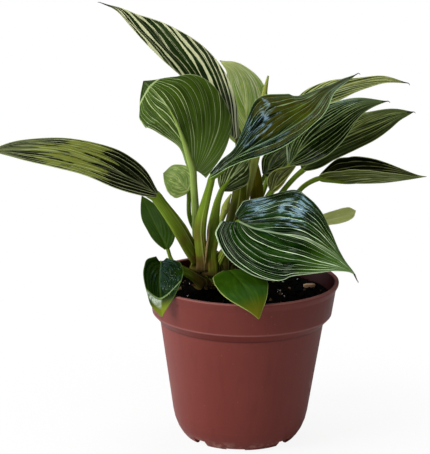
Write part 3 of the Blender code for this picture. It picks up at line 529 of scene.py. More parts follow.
def add_leaf(name, leaf, look):
    """A blade with sunken veins, a midrib and thin edges."""
    surface = blade_surface(leaf, *look.grid)
    columns, count = surface.shape[:2]
    facing = blade_frame(leaf, count)[2]
    t, signed = np.meshgrid(np.linspace(0, 1, count), np.linspace(-1, 1, columns))
    left, right = width_at(leaf, 0, t), width_at(leaf, 1, t)
    width = np.where(signed < 0, left, right)
    u, half = np.abs(signed), signed
    if look.one_sided:
        width, u, half = left + right, ((1 + signed) / 2)**1.25, np.ones_like(signed)
    crowd = np.where(signed > 0, look.right_share, 1)
    vein, space = vein_layer(surface, facing, look, t, u, width)
    vein, space = vein * crowd, space / crowd

    # Relief: swellings between veins, a slow wave at the edge, ripples along the veins, and the midrib
    row = TURN * vein * look.lines
    fade = np.clip(width / 6, 0, 1) * np.sin(np.pi * np.clip(u, 0, 1))**0.7
    swell = look.swell * fade * -np.cos(row)
    wave = WAVE * u**2 * np.where(signed < 0, ripple(name + "l", t), ripple(name + "r", t))
    pucker = look.pucker * fade * np.sin(0.5 * row + 9 * t) * np.sin(50 * t + 2.2 * np.sin(0.33 * row))
    rise = (swell + wave + pucker) * np.clip(width / 5, 0, 1)
    rib = np.exp(-(u * width / RIB_WIDTH)**2) * np.clip(1.1 - t, 0, 1) * np.clip(width / 4, 0, 1)
    thick = EDGE_THICK + MIDDLE_THICK * (1 - u**2) * np.clip(width / 5, 0.2, 1)
    normal = blade_normals(surface, facing, width)
    top = surface + normal * (rise + thick / 2 - RIB_GROOVE * rib)[..., None]
    under = surface + normal * (rise - thick / 2 - RIB_DEPTH * rib)[..., None]

    mesh, quad_count = closed_sheet(name, top, under)
    layers = (vein, half, t, u * width, (1 - np.abs(signed)) * width, np.maximum(space, 0.1))
    for label, values in zip(LAYERS, layers):
        give(mesh, label, np.tile(values.ravel(), 2))
    mesh.materials.append(leaf_material(name + "_upper", look, name))
    mesh.materials.append(leaf_material(name + "_under", under_look(look), name, under=True))
    index = np.zeros(len(mesh.polygons), np.int32)
    index[quad_count:2 * quad_count] = 1
    mesh.polygons.foreach_set("material_index", index)
    tidy_mesh(mesh)
    new_piece(name + "_blade", mesh, name)


def sweep(name, points, section, front, material, sides=20):
    """A closed body along a line of points. section(share, turn) gives how far out and deep it goes."""
    points = np.asarray(points, float)
    tangent = unit(np.gradient(points, axis=0))
    across = unit(np.cross(tangent, np.array(front, float)))
    depth = np.cross(across, tangent)
    count = len(points)
    turn = np.linspace(0, TURN, sides, endpoint=False)
    rows = []
    for i, share in enumerate(np.linspace(0, 1, count)):
        out, deep = section(share, turn)
        rows.append(points[i] + across[i] * out[:, None] + depth[i] * deep[:, None])
    ends = [tuple(range(sides))[::-1], tuple(range((count - 1) * sides, count * sides))]
    mesh = new_mesh(name, np.array(rows).reshape(-1, 3), quads(count, sides, ring=True) + ends)
    give(mesh, "along", np.repeat(np.linspace(0, 1, count), sides))
    give(mesh, "around", np.tile(turn / TURN, count))
    mesh.materials.append(material)
    tidy_mesh(mesh)
    return mesh


def round_section(radius_at):
    """A round section for sweep, from the radius at a share of the way and a turn."""
    def section(share, turn):
        radius = radius_at(share, turn)
        return radius * np.cos(turn), radius * np.sin(turn)
    return section


def add_tail(name, leaf, steps):
    """The thin bent end of a leaf's tip."""
    middle = blade_frame(leaf, 41)[0]
    spots = [middle[-3], middle[-1], *(middle[-1] + np.array(step, float) for step in steps)]
    section = round_section(lambda share, turn: 0.5 - 0.36 * share)
    mesh = sweep(name, smooth_curve(spots, 14), section, (0.1, -1, 0.2), tail_material(), sides=8)
    new_piece(name + "_tail", mesh)


def stalk_points(leaf, stem, turn_deg, low, rise, points, radii, count):
    """Points of a leaf stalk, from its stem to just under the base of its leaf."""
    turn = math.radians(turn_deg)
    reach = STEM_RADIUS + radii[0] + GAP
    x = STEMS[stem][0] + reach * math.cos(turn)
    y = STEMS[stem][1] + reach * math.sin(turn)
    middle, _, normal, _ = blade_frame(leaf, 25)
    end = middle[0] - normal[0] * radii[-1] * 0.9
    return smooth_curve([(x, y, low), (x, y, low + rise / 2), (x, y, low + rise), *points, end], count)


def add_stalk(name, leaf, stalk, flat=1, even=False, swell=0.12, reach=0.36, **colours):
    """A fleshy stalk that runs on under its leaf as the midrib."""
    radii = stalk[-1]
    stations = np.linspace(0, 1, len(radii))
    last = radii[-1]
    stem_part = stalk_points(leaf, *stalk, 40)
    middle, _, normal, _ = blade_frame(leaf, 33)
    steps = int(reach * 33)
    sunk = (0.15 + last * np.linspace(1.1, 0.2, steps))[:, None]
    rib_part = middle[1:steps + 1] - normal[1:steps + 1] * sunk
    points = smooth_curve(np.vstack([stem_part[::3], rib_part[::2]]), 56)
    free = lengths_along(stem_part)[-1] / lengths_along(points)[-1]
    broad_until = 0.75 if even else 0.55

    def section(share, turn):
        if share < free:
            radius = float(np.interp(share / free, stations, radii))
            radius *= 1 + swell * max(0, 1 - share / free * 2.5)**2
            radius *= 1 + 0.12 * math.exp(-((share - free) / 0.05)**2)
        else:
            radius = last * (1.12 - 0.9 * (share - free) / (1 - free))
        broad = 1 + (flat - 1) * min(1, max(0, (1 - share / free) / (1 - broad_until)))
        groove = 1 - 0.1 * np.exp(-((turn - np.pi / 2) / 0.45)**2)
        return radius * broad * np.cos(turn) * groove, radius * np.sin(turn) * groove / broad

    mesh = sweep(name, points, section, leaf.facing[0], stalk_material(name, **colours))
    new_piece(name + "_flesh", mesh, name)


def add_shoot(name, stations, material):
    """A rolled leaf: a tapering roll with its outer edge showing as a seam."""
    shares = np.linspace(0, 1, len(stations))
    radii = [station[3] for station in stations]
    section = round_section(lambda share, turn: float(np.interp(share, shares, radii))
                            * (0.82 + 0.26 * ((turn + 2.5 * share) % TURN) / TURN))
    points = smooth_curve([station[:3] for station in stations], 44)
    mesh = sweep(name, points, section, (0.3, -1, 0.1), material, sides=28)
    new_piece(name + "_roll", mesh, name)


def add_stem(name, x, y):
    """A short ringed stem."""
    section = round_section(lambda share, turn: STEM_RADIUS * (1 + 0.06 * math.sin(share * 25))
                            * (1 - 0.25 * share))
    points = [(x, y, z) for z in np.linspace(SOIL_TOP - 2, STEM_TOP, 30)]
    mesh = sweep(name, points, section, (0, -1, 0), stalk_material(name, (0.16, 0.11, 0.05)))
    new_piece(name + "_body", mesh, name)


def arithmetic(operation):
    """A method that adds a math node."""
    return lambda out, other=0: out.graph.math(operation, out, other)


class Out:
    """The output of a node. Arithmetic with it adds math nodes."""
    __add__, __sub__, __mul__ = map(arithmetic, ("ADD", "SUBTRACT", "MULTIPLY"))
    __truediv__, __abs__ = arithmetic("DIVIDE"), arithmetic("ABSOLUTE")

    def __init__(self, graph, socket):
        self.graph, self.socket = graph, socket


class Graph:
    """Short names for the nodes of a material or of the world."""

    def __init__(self, owner, shader="Principled BSDF", out="Material Output"):
        owner.use_nodes = True
        self.owner, self.tree = owner, owner.node_tree
        self.shader, self.out = self.tree.nodes[shader], self.tree.nodes[out]

    def put(self, socket, value):
        """Link an output to the socket, or write a value into it."""
        if isinstance(value, Out):
            self.tree.links.new(value.socket, socket)
        elif socket.type == "RGBA":
            socket.default_value = (*value, 1)
        else:
            socket.default_value = value

    def node(self, kind, inputs, output=0, **settings):
        """An output of a new node. The inputs are in order, or by name or number."""
        node = self.tree.nodes.new("ShaderNode" + kind)
        for key, value in settings.items():
            setattr(node, key, value)
        for key, value in inputs.items() if isinstance(inputs, dict) else enumerate(inputs):
            self.put(node.inputs[key], value)
        return Out(self, node.outputs[output])

    def attribute(self, name):
        return self.node("Attribute", (), "Fac", attribute_name=name)

    def math(self, operation, a, b=0, clamp=False):
        return self.node("Math", (a, b), operation=operation, use_clamp=clamp)

    def vector(self, x, y, z=0):
        return self.node("CombineXYZ", (x, y, z))

    def noise(self, vector, scale=1, detail=2, roughness=0.5):
        inputs = dict(Vector=vector, Scale=scale, Detail=detail, Roughness=roughness)
        return self.node("TexNoise", inputs, "Fac")

    def random(self, x, y):
        return self.node("TexWhiteNoise", dict(Vector=self.vector(x, y)), "Value", noise_dimensions="3D")

    def smooth(self, value, low, high, to_low=0, to_high=1):
        """A smooth step from to_low to to_high, while the value goes from low to high."""
        return self.node("MapRange", (value, low, high, to_low, to_high), interpolation_type="SMOOTHSTEP")

    def mix(self, share, a, b):
        return self.node("Mix", {0: share, 6: a, 7: b}, 2, data_type="RGBA")

    def tinted(self, colour, *tints):
        """A colour with others laid over it, each with its share first."""
        for share, tint in tints:
            colour = self.mix(share, colour, tint)
        return colour

    def place(self, scale=1):
        """The point on the object, in units of 1 / scale metres."""
        spot = self.node("TexCoord", (), "Object")
        return self.node("VectorMath", {0: spot, "Scale": scale}, operation="SCALE")

    def grain(self, scale, detail=2, roughness=0.5):
        """Noise in the object's space."""
        return self.noise(self.place(scale), 1, detail, roughness)

    def camera_sees(self, glow, share=None):
        """The camera sees the glow instead of the shader, or a share of it."""
        seen = self.node("LightPath", (), "Is Camera Ray")
        seen = share * seen if share else seen
        both = self.node("MixShader", (seen, Out(self, self.shader.outputs[0]), glow))
        self.put(self.out.inputs["Surface"], both)

    def finish(self, colour, rough, shine=0.5, bumps=None, strength=0, depth=BUMPS):
        """The material, with bumps that are depth metres high."""
        for key, value in (("Base Color", colour), ("Roughness", rough), ("Specular IOR Level", shine)):
            self.put(self.shader.inputs[key], value)
        if bumps:
            bump = self.node("Bump", dict(Strength=strength, Distance=depth, Height=bumps))
            self.put(self.shader.inputs["Normal"], bump)
        return self.owner


def paint(name):
    """The graph of a new material."""
    return Graph(bpy.data.materials.new(name))


def mixed(a, b, share):
    """A colour between two others."""
    return tuple(x * (1 - share) + y * share for x, y in zip(a, b))


def under_look(look):
    """The underside of a leaf: paler and matter, with faint veins."""
    base = look.under or mixed(look.light, (0.08, 0.13, 0.02), 0.6)
    changes = dict(dark=tuple(0.6 * c for c in base), light=tuple(1.3 * c for c in base), rough=0.5,
                   stripe=mixed(base, (0.45, 0.55, 0.24), 0.7), streak=0.15, cream=None,
                   pale=look.under_pale, rib=0.8)
    return SimpleNamespace(**{**vars(look), **changes})


def pinstripes(g, spot, look):
    """Pale veins of an even width, finer ones between them, and how near each place is to one."""
    number, space, side = spot.number, spot.space, spot.side
    count = g.math("ROUND", number)
    off = abs(number - count)
    luck = g.random(count, side)
    broken = g.noise(g.vector(number, spot.along * 6, side), 1.3)
    wide = (luck * 0.2 + 0.16) * g.smooth(broken, 0.28, 0.6, 0.35, 1.3)
    wide = g.math("MINIMUM", wide * look.bold / space, 0.3)
    line = g.smooth(off, wide * 0.5, wide * 1.3, 1, 0) * g.smooth(luck, 0, 0.6, 0.5)
    shade = g.smooth(off, wide * 1.2, wide * 4, 1, 0)
    third = number * 3
    count = g.math("ROUND", third)
    luck = g.random(count, side + 3)
    wide = g.math("MINIMUM", g.math("DIVIDE", 0.5, space), 0.4)
    thin = g.smooth(abs(third - count), wide * 0.3, wide, 1, 0) * g.smooth(luck, 0.3, 1, 0, look.minor)
    return line, thin, shade


def three_levels(g, along, levels, late):
    """A number that goes from the first level to the middle one and, at late, on to the last."""
    first, middle, last = levels
    return g.smooth(along, 0.1, 0.5, first, middle) + g.smooth(along, *late, 0, last - middle)


def cream_bands(g, spot, look):
    """Cream bands that alternate with green ones. Their share changes from base to middle to tip."""
    wander = g.noise(g.vector(spot.number, spot.along * 4, spot.side), 1, 3, 0.6)
    place = spot.number * look.bands + wander * 1.2
    luck = g.random(g.math("FLOOR", place), spot.side + 7)
    inside = g.math("PINGPONG", place, 0.5) * 2
    share = three_levels(g, spot.along, look.cream, (0.6, 0.95)) + (luck - 0.5) * 0.6
    band = g.smooth(inside + share, 0.92, 1.08) * g.smooth(luck, 0, 0.5, 0.6, 0.95)
    return band * g.smooth(spot.space, 0.3, 1, 0.25)


def patches(g, spot, look):
    """Long broken patches of a second ground colour. Their share changes from base to middle to tip."""
    cloud = g.noise(g.vector(spot.number * 0.8, spot.along * 4, spot.side + 11), 1, 3, 0.6)
    return g.smooth(cloud + three_levels(g, spot.along, look.patch, (0.55, 0.9)), 0.48, 0.58)


def folded_corner(g, along, look):
    """A tip that is folded back: darker beyond a pale crease."""
    return ((g.smooth(along, look.fold, look.fold + 0.01, 0, 0.75), (0.012, 0.03, 0.002)),
            (g.smooth(abs(along - look.fold), 0.006, 0.014, 0.85, 0), look.stripe))


def cupped_end(g, along, across):
    """A pale lip across the blade, and a painted sheen beyond it on one side."""
    place = across * across * 0.16 + along
    # sheen is a painted sheen: a pale patch in the colour, on one side beyond the lip
    sheen = g.smooth(place, 0.73, 0.75) * g.smooth(place, 0.8, 0.9, 1, 0) * g.smooth(across, -0.15, 0.1)
    return ((sheen * g.smooth(g.grain(700), 0.35, 0.6, 0.4, 0.9), (0.55, 0.64, 0.5)),
            (g.smooth(abs(place - 0.72), 0.005, 0.018, 0.8, 0), (0.2, 0.3, 0.1)))


def leaf_material(name, look, seed_name, under=False):
    """Pinstripes, streaks and cream bands that follow the veins."""
    g = paint(name)
    seed = random.Random(seed_name).uniform(0, 50)
    vein, across, along, middle, edge, space = map(g.attribute, LAYERS)
    half = g.math("GREATER_THAN", across, 0)
    side = half * 37 + seed
    number = vein * look.lines
    number = number + (g.noise(g.vector(number, along * 2, side), 0.8) - 0.5) * 1.2
    spot = SimpleNamespace(number=number, space=space, side=side, along=along)
    line, thin, shade = pinstripes(g, spot, look)
    line = line * g.smooth(space, 0.3, 1.3, look.crowded * look.pale, look.pale)
    line = line * (half * (1 - look.weak) + look.weak) * g.smooth(along, 0, 0.3, look.early)
    fine = g.noise(g.vector(number * 3.2, along * 5, side), 1, 3, 0.55)
    streak = g.smooth(fine, 0.56, 0.72) * look.streak
    ground = g.smooth(g.noise(g.vector(number, along * 4, side), 0.8, 3), 0.35, 0.7)
    ground = g.math("SUBTRACT", ground, shade * 0.7, clamp=True)
    tints = [(ground, look.light), (g.smooth(along, *look.late), look.end)]
    if look.patch:
        tints.append((patches(g, spot, look), look.patch_colour))
    if look.cream:
        tints.append((cream_bands(g, spot, look), look.stripe))
    if look.root:
        tints.append((g.smooth(along, 0, 0.45, look.root, 0), (0.14, 0.27, 0.02)))
    tints.append((g.math("MAXIMUM", g.math("MAXIMUM", line, streak), thin), look.stripe))
    if look.fold:
        tints += folded_corner(g, along, look)
    # A cupped end adds a pale lip and a painted sheen to the colour
    if look.cupped:
        tints += cupped_end(g, along, across)
    rib = g.smooth(middle, 0.2, 0.7, look.rib, 0) * g.smooth(along, 0.45, 1, 1, 0.2)
    rim = g.smooth(edge, 0.15, 0.6, look.rim, 0) * g.smooth(space, 0.3, 1.3, 0.4)
    tints += [(rib, mixed(look.light, look.stripe, 0.75)), (rim, look.stripe),
              (g.smooth(along, look.tip, 0.995, 0, 0.9), (0.02, 0.014, 0.006))]
    rough = (fine - 0.5) * 0.2 + g.smooth(along, 0.6, 0.9, look.rough, look.rough + 0.3)
    grain = g.noise(g.place(1000), 1.6)
    bumps = line * -0.6 + grain * 0.2 + fine * 0.5
    return g.finish(g.tinted(look.dark, *tints), rough, 0.1 if under else look.shine, bumps, 0.35)


def tail_material():
    """The dry brown end of a leaf."""
    g = paint("leaf_tip")
    return g.finish(g.mix(g.grain(1500), (0.006, 0.005, 0.002), (0.03, 0.028, 0.008)), 0.5)


def stalk_material(name, low=(0.11, 0.13, 0.008), high=(0.1, 0.17, 0.012), pale=0.6):
    """Green flesh with fine lines along it, yellower near the soil."""
    g = paint(name)
    seed = random.Random(name).uniform(0, 50)
    along, around = g.attribute("along"), g.attribute("around")
    turn = around * 6.2832
    spot = g.vector(g.math("COSINE", turn) * 2.6, g.math("SINE", turn) * 2.6, along * 1.5 + seed)
    lines = g.noise(spot, 2.2, 3, 0.6)
    cloud = g.grain(60, 3)
    blush = g.smooth(g.grain(110, 3), 0.45, 0.62) * g.smooth(along, 0.12, 0.5, 0.6, 0)
    seam = g.smooth(abs(around - 0.16), 0.006, 0.02, 0.8, 0) * g.smooth(along, 0.2, 0.55, 1, 0)
    edge = g.smooth(abs(around - 0.19), 0.006, 0.02, 0.6, 0) * g.smooth(along, 0.2, 0.6, 1, 0)
    colour = g.tinted(
        low, (g.smooth(along, 0.05, 0.5), high),
        (g.smooth(cloud, 0.35, 0.7, 0, 0.8 * pale), (0.17, 0.24, 0.02)),
        (g.smooth(lines, 0.5, 0.75, 0, pale), (0.3, 0.36, 0.06)),
        (g.smooth(lines, 0.5, 0.25, 0, 0.65), (0.03, 0.06, 0.003)),
        (blush, (0.13, 0.05, 0.022)), (seam, (0.05, 0.02, 0.008)), (edge, (0.34, 0.4, 0.13)),
        (g.smooth(along, 0, 0.12, 0.75, 0), (0.05, 0.025, 0.012)))
    return g.finish(colour, g.smooth(lines, 0.3, 0.7, 0.4, 0.55), 0.04, lines, 0.3)


def rounded(profile, size=0.45, steps=3):
    """A profile with each of its corners turned into a small arc."""
    points = [np.array(p, float) for p in profile]
    made = [tuple(points[0])]
    for before, corner, after in zip(points, points[1:], points[2:]):
        start, end = (corner + unit(to - corner) * min(size, np.linalg.norm(to - corner) * 0.45)
                      for to in (before, after))
        for s in np.linspace(0, 1, steps + 1):
            made.append(tuple(start * (1 - s)**2 + 2 * corner * s * (1 - s) + end * s**2))
    return made + [tuple(points[-1])]


def lathe(name, profile, steps):
    """A mesh turned about Z from a profile of (radius, height), down the outer side."""
    turns = np.linspace(0, TURN, steps, endpoint=False)
    points = [(r * math.cos(a), r * math.sin(a), z) for r, z in profile for a in turns]
    return new_mesh(name, points, [(a, d, c, b) for a, b, c, d in quads(len(profile), steps, ring=True)])


def pot_profile():
    """Half section of the pot, from the middle of its floor up the inside and down the outside."""
    top = POT_HEIGHT - LIP_HEIGHT
    gutter = GUTTER_DEPTH + POT_FLOOR
    inner_heel = [(radius - WALL, height + 0.4) for radius, height in HEEL[::-1][1:]]
    inside = [(0, POT_FLOOR), (CENTRE_RADIUS - 1.4, POT_FLOOR), (CENTRE_RADIUS - 0.6, gutter),
              (HEEL[-1][0] - WALL, gutter), *inner_heel, (BODY_LOW[0] - WALL, BODY_LOW[1]),
              (SHOULDER[0] - WALL, SHOULDER[1] + 0.6), (BAND_LOW[0] - WALL, BAND_LOW[1] + 0.6),
              (BAND_TOP_RADIUS - WALL, top), (BAND_TOP_RADIUS - WALL + 0.5, POT_HEIGHT)]
    foot_inside = FOOT_RADIUS - FOOT_WIDTH
    outside = [(RIM_RADIUS, POT_HEIGHT), (RIM_RADIUS, POT_HEIGHT - LIP_DROP), (BAND_TOP_RADIUS, top - 0.2),
               BAND_LOW, SHOULDER, BODY_LOW, *HEEL, (FOOT_RADIUS, 0), (foot_inside, 0),
               (foot_inside, GUTTER_DEPTH), (CENTRE_RADIUS + 0.8, GUTTER_DEPTH), (CENTRE_RADIUS, 0), (0, 0)]
    return rounded(inside + outside)


def polar(radius, turn, height):
    """A point in metres, from millimetres and radians."""
    return radius * math.cos(turn) * MM, radius * math.sin(turn) * MM, height * MM


def pot_cutters():
    """Drain notches in the foot and drain holes in the gutter."""
    shapes = []
    middle = FOOT_RADIUS - FOOT_WIDTH - 1.5 + NOTCH_LENGTH / 2
    for i in range(NOTCH_COUNT):
        for turn_deg, width, height in ((0, NOTCH_WIDTH, GUTTER_DEPTH - 0.3),
                                        (SHALLOW_TURN_DEG, NOTCH_WIDTH + 2, SHALLOW_HEIGHT)):
            turn = math.radians(NOTCH_FIRST_DEG + 360 / NOTCH_COUNT * i + turn_deg)
            bpy.ops.mesh.primitive_cube_add(size=1, location=polar(middle, turn, (height - 1) / 2),
                                            rotation=(0, 0, turn))
            bpy.context.object.scale = (NOTCH_LENGTH * MM, width * MM, (height + 1) * MM)
            shapes.append(bpy.context.object)
    for i in range(HOLE_COUNT):
        place = polar(HOLE_RING, math.radians(360 / HOLE_COUNT * i), GUTTER_DEPTH + POT_FLOOR / 2)
        bpy.ops.mesh.primitive_cylinder_add(vertices=24, radius=HOLE_RADIUS * MM, depth=2 * POT_FLOOR * MM,
                                            location=place)
        shapes.append(bpy.context.object)
    return shapes


def pot_material():
    """Satin moulded plastic, chalky in places, scuffed near the foot, with painted shade inside the rim, on
    the ledge and in the crease under it, and painted highlights along the rim's top and the band's lower
    edge.
    """
    g = paint("pot_plastic")
    cloud = g.grain(22, 3, 0.55)
    speck = g.grain(900, 1)
    scuff = g.grain(260, 4, 0.7)
    place = g.place(1000)
    x, y, height = (g.node("SeparateXYZ", (place,), axis) for axis in range(3))
    lean = (BAND_TOP_RADIUS - BAND_LOW[0]) / (POT_HEIGHT - LIP_HEIGHT - BAND_LOW[1])
    bore = BAND_LOW[0] - WALL - lean * BAND_LOW[1]
    depth = height * -lean + g.math("SQRT", x * x + y * y)
    # inside: painted shade on the inner wall between the soil and the rim
    inside = g.smooth(height, SOIL_TOP - 2, SOIL_TOP) * g.smooth(depth, bore + 0.3, bore + 0.6, 0.9, 0)
    strokes = g.noise(g.vector(x * 0.25, y * 0.25, height * 0.03), 1, 3)
    # ledge: painted shade on the sloping ledge under the band, which faces down
    ledge = (g.smooth(height, SHOULDER[1] - 0.4, SHOULDER[1] + 0.4, 0, 0.5)
             * g.smooth(height, BAND_LOW[1] - 0.6, BAND_LOW[1], 1, 0))

    def line(level, reach, share):
        """A thin line round the pot at a level, for the painted shade and highlights below."""
        return g.smooth(abs(height - level), 0.3 * reach, reach, share, 0)

    worn = g.smooth(scuff, 0.44, 0.62) * g.smooth(height, 0, 7, 1, 0) * 0.7
    colour = g.tinted(
        (0.15, 0.029, 0.022), (g.smooth(cloud, 0.3, 0.7), (0.168, 0.035, 0.027)),
        (g.smooth(speck, 0.76, 0.84, 0, 0.5), (0.42, 0.25, 0.21)),
        (g.smooth(speck, 0.28, 0.2, 0, 0.35), (0.07, 0.02, 0.018)),
        # painted shade inside the rim
        (inside, (0.02, 0.003, 0.003)),
        (g.smooth(strokes, 0.5, 0.75, 0, 0.16), (0.08, 0.014, 0.012)),
        (g.smooth(height, BAND_LOW[1] - 4, BAND_LOW[1] + 4, 0, 0.16), (0.04, 0.004, 0.002)),
        # painted shade on the ledge
        (ledge, (0.1, 0.008, 0.004)),
        # painted shade in the crease at the shoulder
        (line(SHOULDER[1] + 0.1, 0.9, 0.45), (0.035, 0.006, 0.005)),
        # painted highlight along the band's lower edge
        (line(BAND_LOW[1] + 0.2, 0.7, 0.3), (0.36, 0.16, 0.14)),
        # painted highlight along the rim's top edge
        (line(POT_HEIGHT, 0.9, 0.4), (0.4, 0.19, 0.17)),
        (worn, (0.36, 0.2, 0.16)))
    return g.finish(colour, g.smooth(cloud, 0.2, 0.8, 0.42, 0.56), 0.18, scuff + speck, 0.12)


def add_pot():
    """The nursery pot, with its notches and holes cut out."""
    mesh = lathe("pot", pot_profile(), POT_STEPS)
    tidy_mesh(mesh)
    mesh.materials.append(pot_material())
    pot = new_piece("pot_moulding", mesh, "pot")
    shapes = pot_cutters()
    for shape in shapes:
        boolean = pot.modifiers.new("cut", "BOOLEAN")
        boolean.object, boolean.solver = shape, "EXACT"
    bpy.context.view_layer.update()
    result = pot.evaluated_get(bpy.context.evaluated_depsgraph_get())
    mesh = bpy.data.meshes.new_from_object(result)
    pot.modifiers.clear()
    pot.data = mesh
    for shape in shapes:
        bpy.data.objects.remove(shape)
    mesh.shade_smooth()
    with editing(mesh) as shape:
        for edge in shape.edges:
            edge.smooth = not (edge.is_manifold and edge.calc_face_angle(0) > math.radians(SHARP_DEG))


def soil_material():
    """Dark moist potting mix."""
    g = paint("potting_soil")
    grain = g.grain(420, 4, 0.65)
    patch = g.smooth(g.grain(90, 3), 0.5, 0.7, 0, 0.6)
    colour = g.tinted((0.0005, 0.0004, 0.0003), (g.smooth(grain, 0.35, 0.7), (0.006, 0.0045, 0.003)),
                      (patch, (0.002, 0.0015, 0.001)))
    return g.finish(colour, g.smooth(grain, 0.3, 0.7, 0.55, 0.95), 0.03, grain, 0.8, 0.0012)


def lump(x, y):
    """Height of the soil's lumps at a place."""
    return (0.5 * math.sin(0.31 * x + 0.8) * math.cos(0.27 * y - 0.4)
            + 0.3 * math.sin(0.9 * x + 0.7 * y) + 0.25 * math.sin(1.7 * x - 1.3 * y + 1.0))


def add_soil():
    """A plug of soil with a lumpy top."""
    edge = BAND_TOP_RADIUS - WALL - 0.9
    inset, low = WALL + SOIL_SLACK, GUTTER_DEPTH + POT_FLOOR + 1
    top = [(r, SOIL_TOP + SOIL_MOUND * (1 - (r / edge)**2)) for r in np.linspace(0, edge, 46)]
    side = [(BAND_LOW[0] - inset, BAND_LOW[1] + 0.6), (SHOULDER[0] - inset, SHOULDER[1] + 0.6),
            (BODY_LOW[0] - inset, BODY_LOW[1]), (30, low), (0, low)]
    mesh = lathe("soil", top + side, 160)
    for vertex in mesh.vertices:
        if vertex.co.z > (SOIL_TOP - 0.1) * MM:
            x, y = vertex.co.x / MM, vertex.co.y / MM
            vertex.co.z += (lump(x, y) + 0.35 * math.sin(5.1 * x) * math.sin(4.7 * y)) * MM
    mesh.materials.append(soil_material())
    tidy_mesh(mesh)
    new_piece("soil_plug", mesh, "soil")


def crumb_material(name, low, high, rough):
    """Crumbs that differ in colour from one to the next."""
    g = paint(name)
    grain = g.grain(700, 3, 0.6)
    return g.finish(g.mix(g.attribute("each") * 0.7 + grain * 0.3, low, high), rough, 0.05,
                    grain, 0.6, 0.0005)


def add_grains(name, rng, spots, material):
    """Rough grains at places and with sizes from spots, which draws from the same rng."""
    mesh = bpy.data.meshes.new(name)
    with editing(mesh) as shape:
        layer = shape.verts.layers.float.new("each")
        for place, size in spots:
            made = bmesh.ops.create_icosphere(shape, subdivisions=1, radius=1)["verts"]
            stretch = [rng.uniform(0.6, 1) for _ in range(3)]
            turn = rng.uniform(0, 6.28)
            spin = Matrix.Rotation(turn, 3, Vector((rng.uniform(-1, 1), rng.uniform(-1, 1), 1)))
            tint = rng.random()
            for vertex in made:
                rough = rng.uniform(0.75, 1.15)
                local = Vector([c * s * size * rough for c, s in zip(vertex.co, stretch)])
                vertex.co = Vector(place) * MM + spin @ local * MM
                vertex[layer] = tint
    mesh.materials.append(material)
    return new_piece(name, mesh)


def add_crumbs(name, count, sizes, seed, spread, *material):
    """Loose grains scattered over the soil."""
    rng = random.Random(seed)

    def spots():
        left = count
        while left:
            x, y = rng.uniform(-spread, spread), rng.uniform(-spread, spread)
            if math.hypot(x, y) <= spread:
                left -= 1
                yield (x, y, SOIL_TOP + SOIL_MOUND + lump(x, y) + 0.1), rng.uniform(*sizes)

    add_grains(name, rng, spots(), crumb_material(*material))


def add_drops():
    """Small water drops on the left half of the cupped leaf. Their pale colour is painted glint."""
    rng = random.Random(4)
    leaf = LEAVES["low_left"]
    surface = blade_surface(leaf, 60, 20)
    normal = blade_frame(leaf, 61)[2]

    def spots():
        for _ in range(60):
            column, row = rng.randint(14, 42), rng.randint(2, 17)
            yield surface[row, column] + normal[column] * 0.55, rng.uniform(0.14, 0.36)

    g = paint("water")
    share = g.attribute("each") * 0.6 + g.grain(2000) * 0.4
    # The pale end of this mix is painted glint on the drops, over the leaf's green
    water = g.finish(g.mix(share, (0.01, 0.03, 0.004), (0.3, 0.38, 0.24)), 0.08)
    add_grains("water_drops", rng, spots(), water).data.shade_smooth()


def add_chip():
    """A split chip of bark."""
    low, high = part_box("bark_chip")
    rng = random.Random(4)
    turn = Matrix.Rotation(math.radians(12), 3, "Z")
    mesh = bpy.data.meshes.new("bark_chip")
    with editing(mesh) as shape:
        bmesh.ops.create_cube(shape, size=1)
        bmesh.ops.subdivide_edges(shape, edges=shape.edges, cuts=5, use_grid_fill=True)
        for vertex in shape.verts:
            x, y, z = vertex.co
            narrow = 1 - 0.35 * abs(x * 2)**3
            p = Vector((x * 6.4, y * 3 * narrow, z * 1.9 * narrow))
            p += Vector([rng.uniform(-1, 1) for _ in range(3)]) * 0.12
            vertex.co = (low + high) / 2 + turn @ p * MM
    mesh.shade_smooth()
    mesh.materials.append(crumb_material("bark", (0.28, 0.15, 0.08), (0.62, 0.42, 0.26), 0.85))
    give(mesh, "each", np.full(len(mesh.vertices), 0.6))
    new_piece("bark_chip_split", mesh, "bark_chip")


def add_lamps():
    """Square soft lamps that look at a point."""
    for name, (place, target, size, power, colour, diffuse, glossy) in LAMPS.items():
        data = bpy.data.lights.new(name, "AREA")
        data.size, data.energy, data.color = size, power, colour
        lamp = bpy.data.objects.new(name, data)
        lamp.location = place
        lamp.rotation_euler = (Vector(target) - Vector(place)).to_track_quat("-Z", "Y").to_euler()
        lamp.visible_diffuse, lamp.visible_glossy = diffuse, glossy
        bpy.context.scene.collection.objects.link(lamp)


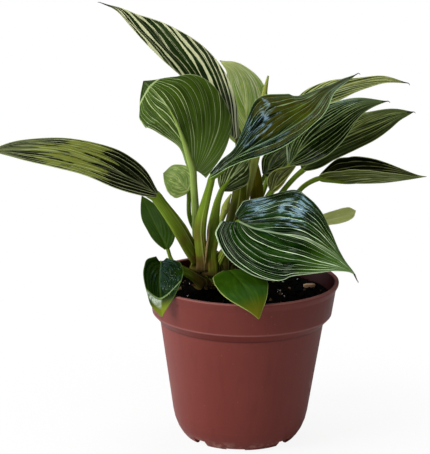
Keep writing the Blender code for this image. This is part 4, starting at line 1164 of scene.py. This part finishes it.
def add_world():
    """Even pale light. The camera sees white."""
    world = bpy.context.scene.world = bpy.data.worlds.new("studio")
    world.cycles_visibility.glossy = False
    g = Graph(world, "Background", "World Output")
    g.put(g.shader.inputs["Color"], (1, 0.98, 0.95))
    g.put(g.shader.inputs["Strength"], AMBIENT)
    g.camera_sees(g.node("Background", dict(Color=WHITE)))


def add_floor():
    """A pale floor that fades to white away from the pot."""
    bpy.ops.mesh.primitive_circle_add(vertices=96, radius=FLOOR_RADIUS, fill_type="NGON",
                                      location=(0, 0, LOW.z - FLOOR_DROP))
    floor = bpy.context.object
    floor.name = "floor"
    g = paint("pale_floor")
    floor.data.materials.append(g.finish((0.9, 0.9, 0.9), 0.9, 0))
    away = g.node("VectorMath", (g.place(),), "Value", operation="LENGTH")
    g.camera_sees(g.node("Emission", dict(Strength=1)), g.smooth(away, 0.05, 0.2, 0.9))


def add_camera():
    """The view of the reference picture."""
    data = bpy.data.cameras.new("camera")
    data.lens = LENS
    data.sensor_width = SENSOR
    camera = bpy.data.objects.new("camera", data)
    look = (CAMERA_TARGET - CAMERA_AT).to_track_quat("-Z", "Y").to_matrix().to_4x4()
    roll = Matrix.Rotation(math.radians(ROLL_DEG), 4, "Z")
    camera.matrix_world = Matrix.Translation(CAMERA_AT) @ look @ roll
    bpy.context.scene.collection.objects.link(camera)
    bpy.context.scene.camera = camera


def main():
    """Every piece, the light and the camera."""
    add_camera()
    add_pot()
    add_soil()
    for name, grains in GRAINS.items():
        add_crumbs(name, *grains)
    add_drops()
    for name, foot in STEMS.items():
        add_stem("stem_" + name, *foot)
    for name, leaf in LEAVES.items():
        add_leaf("leaf_" + name, leaf, SimpleNamespace(**LOOKS[name]))
    for name, steps in TAILS.items():
        add_tail("leaf_" + name, LEAVES[name], steps)
    for name, stalk in STALKS.items():
        add_stalk("stalk_" + name, LEAVES[name], stalk, **STALK_LOOKS.get(name, {}))
    young = stalk_material("young_leaf", (0.14, 0.13, 0.012), (0.3, 0.33, 0.07), 0.3)
    papery = stalk_material("dry_sheath", (0.3, 0.15, 0.1), (0.4, 0.24, 0.16))
    for name, stations in SHOOTS.items():
        dry = name == "dry_sheath"
        add_shoot(name, stations, papery if dry else young)
    add_chip()
    add_floor()
    add_world()
    add_lamps()
    bpy.context.scene.view_settings.view_transform = "Standard"


main()
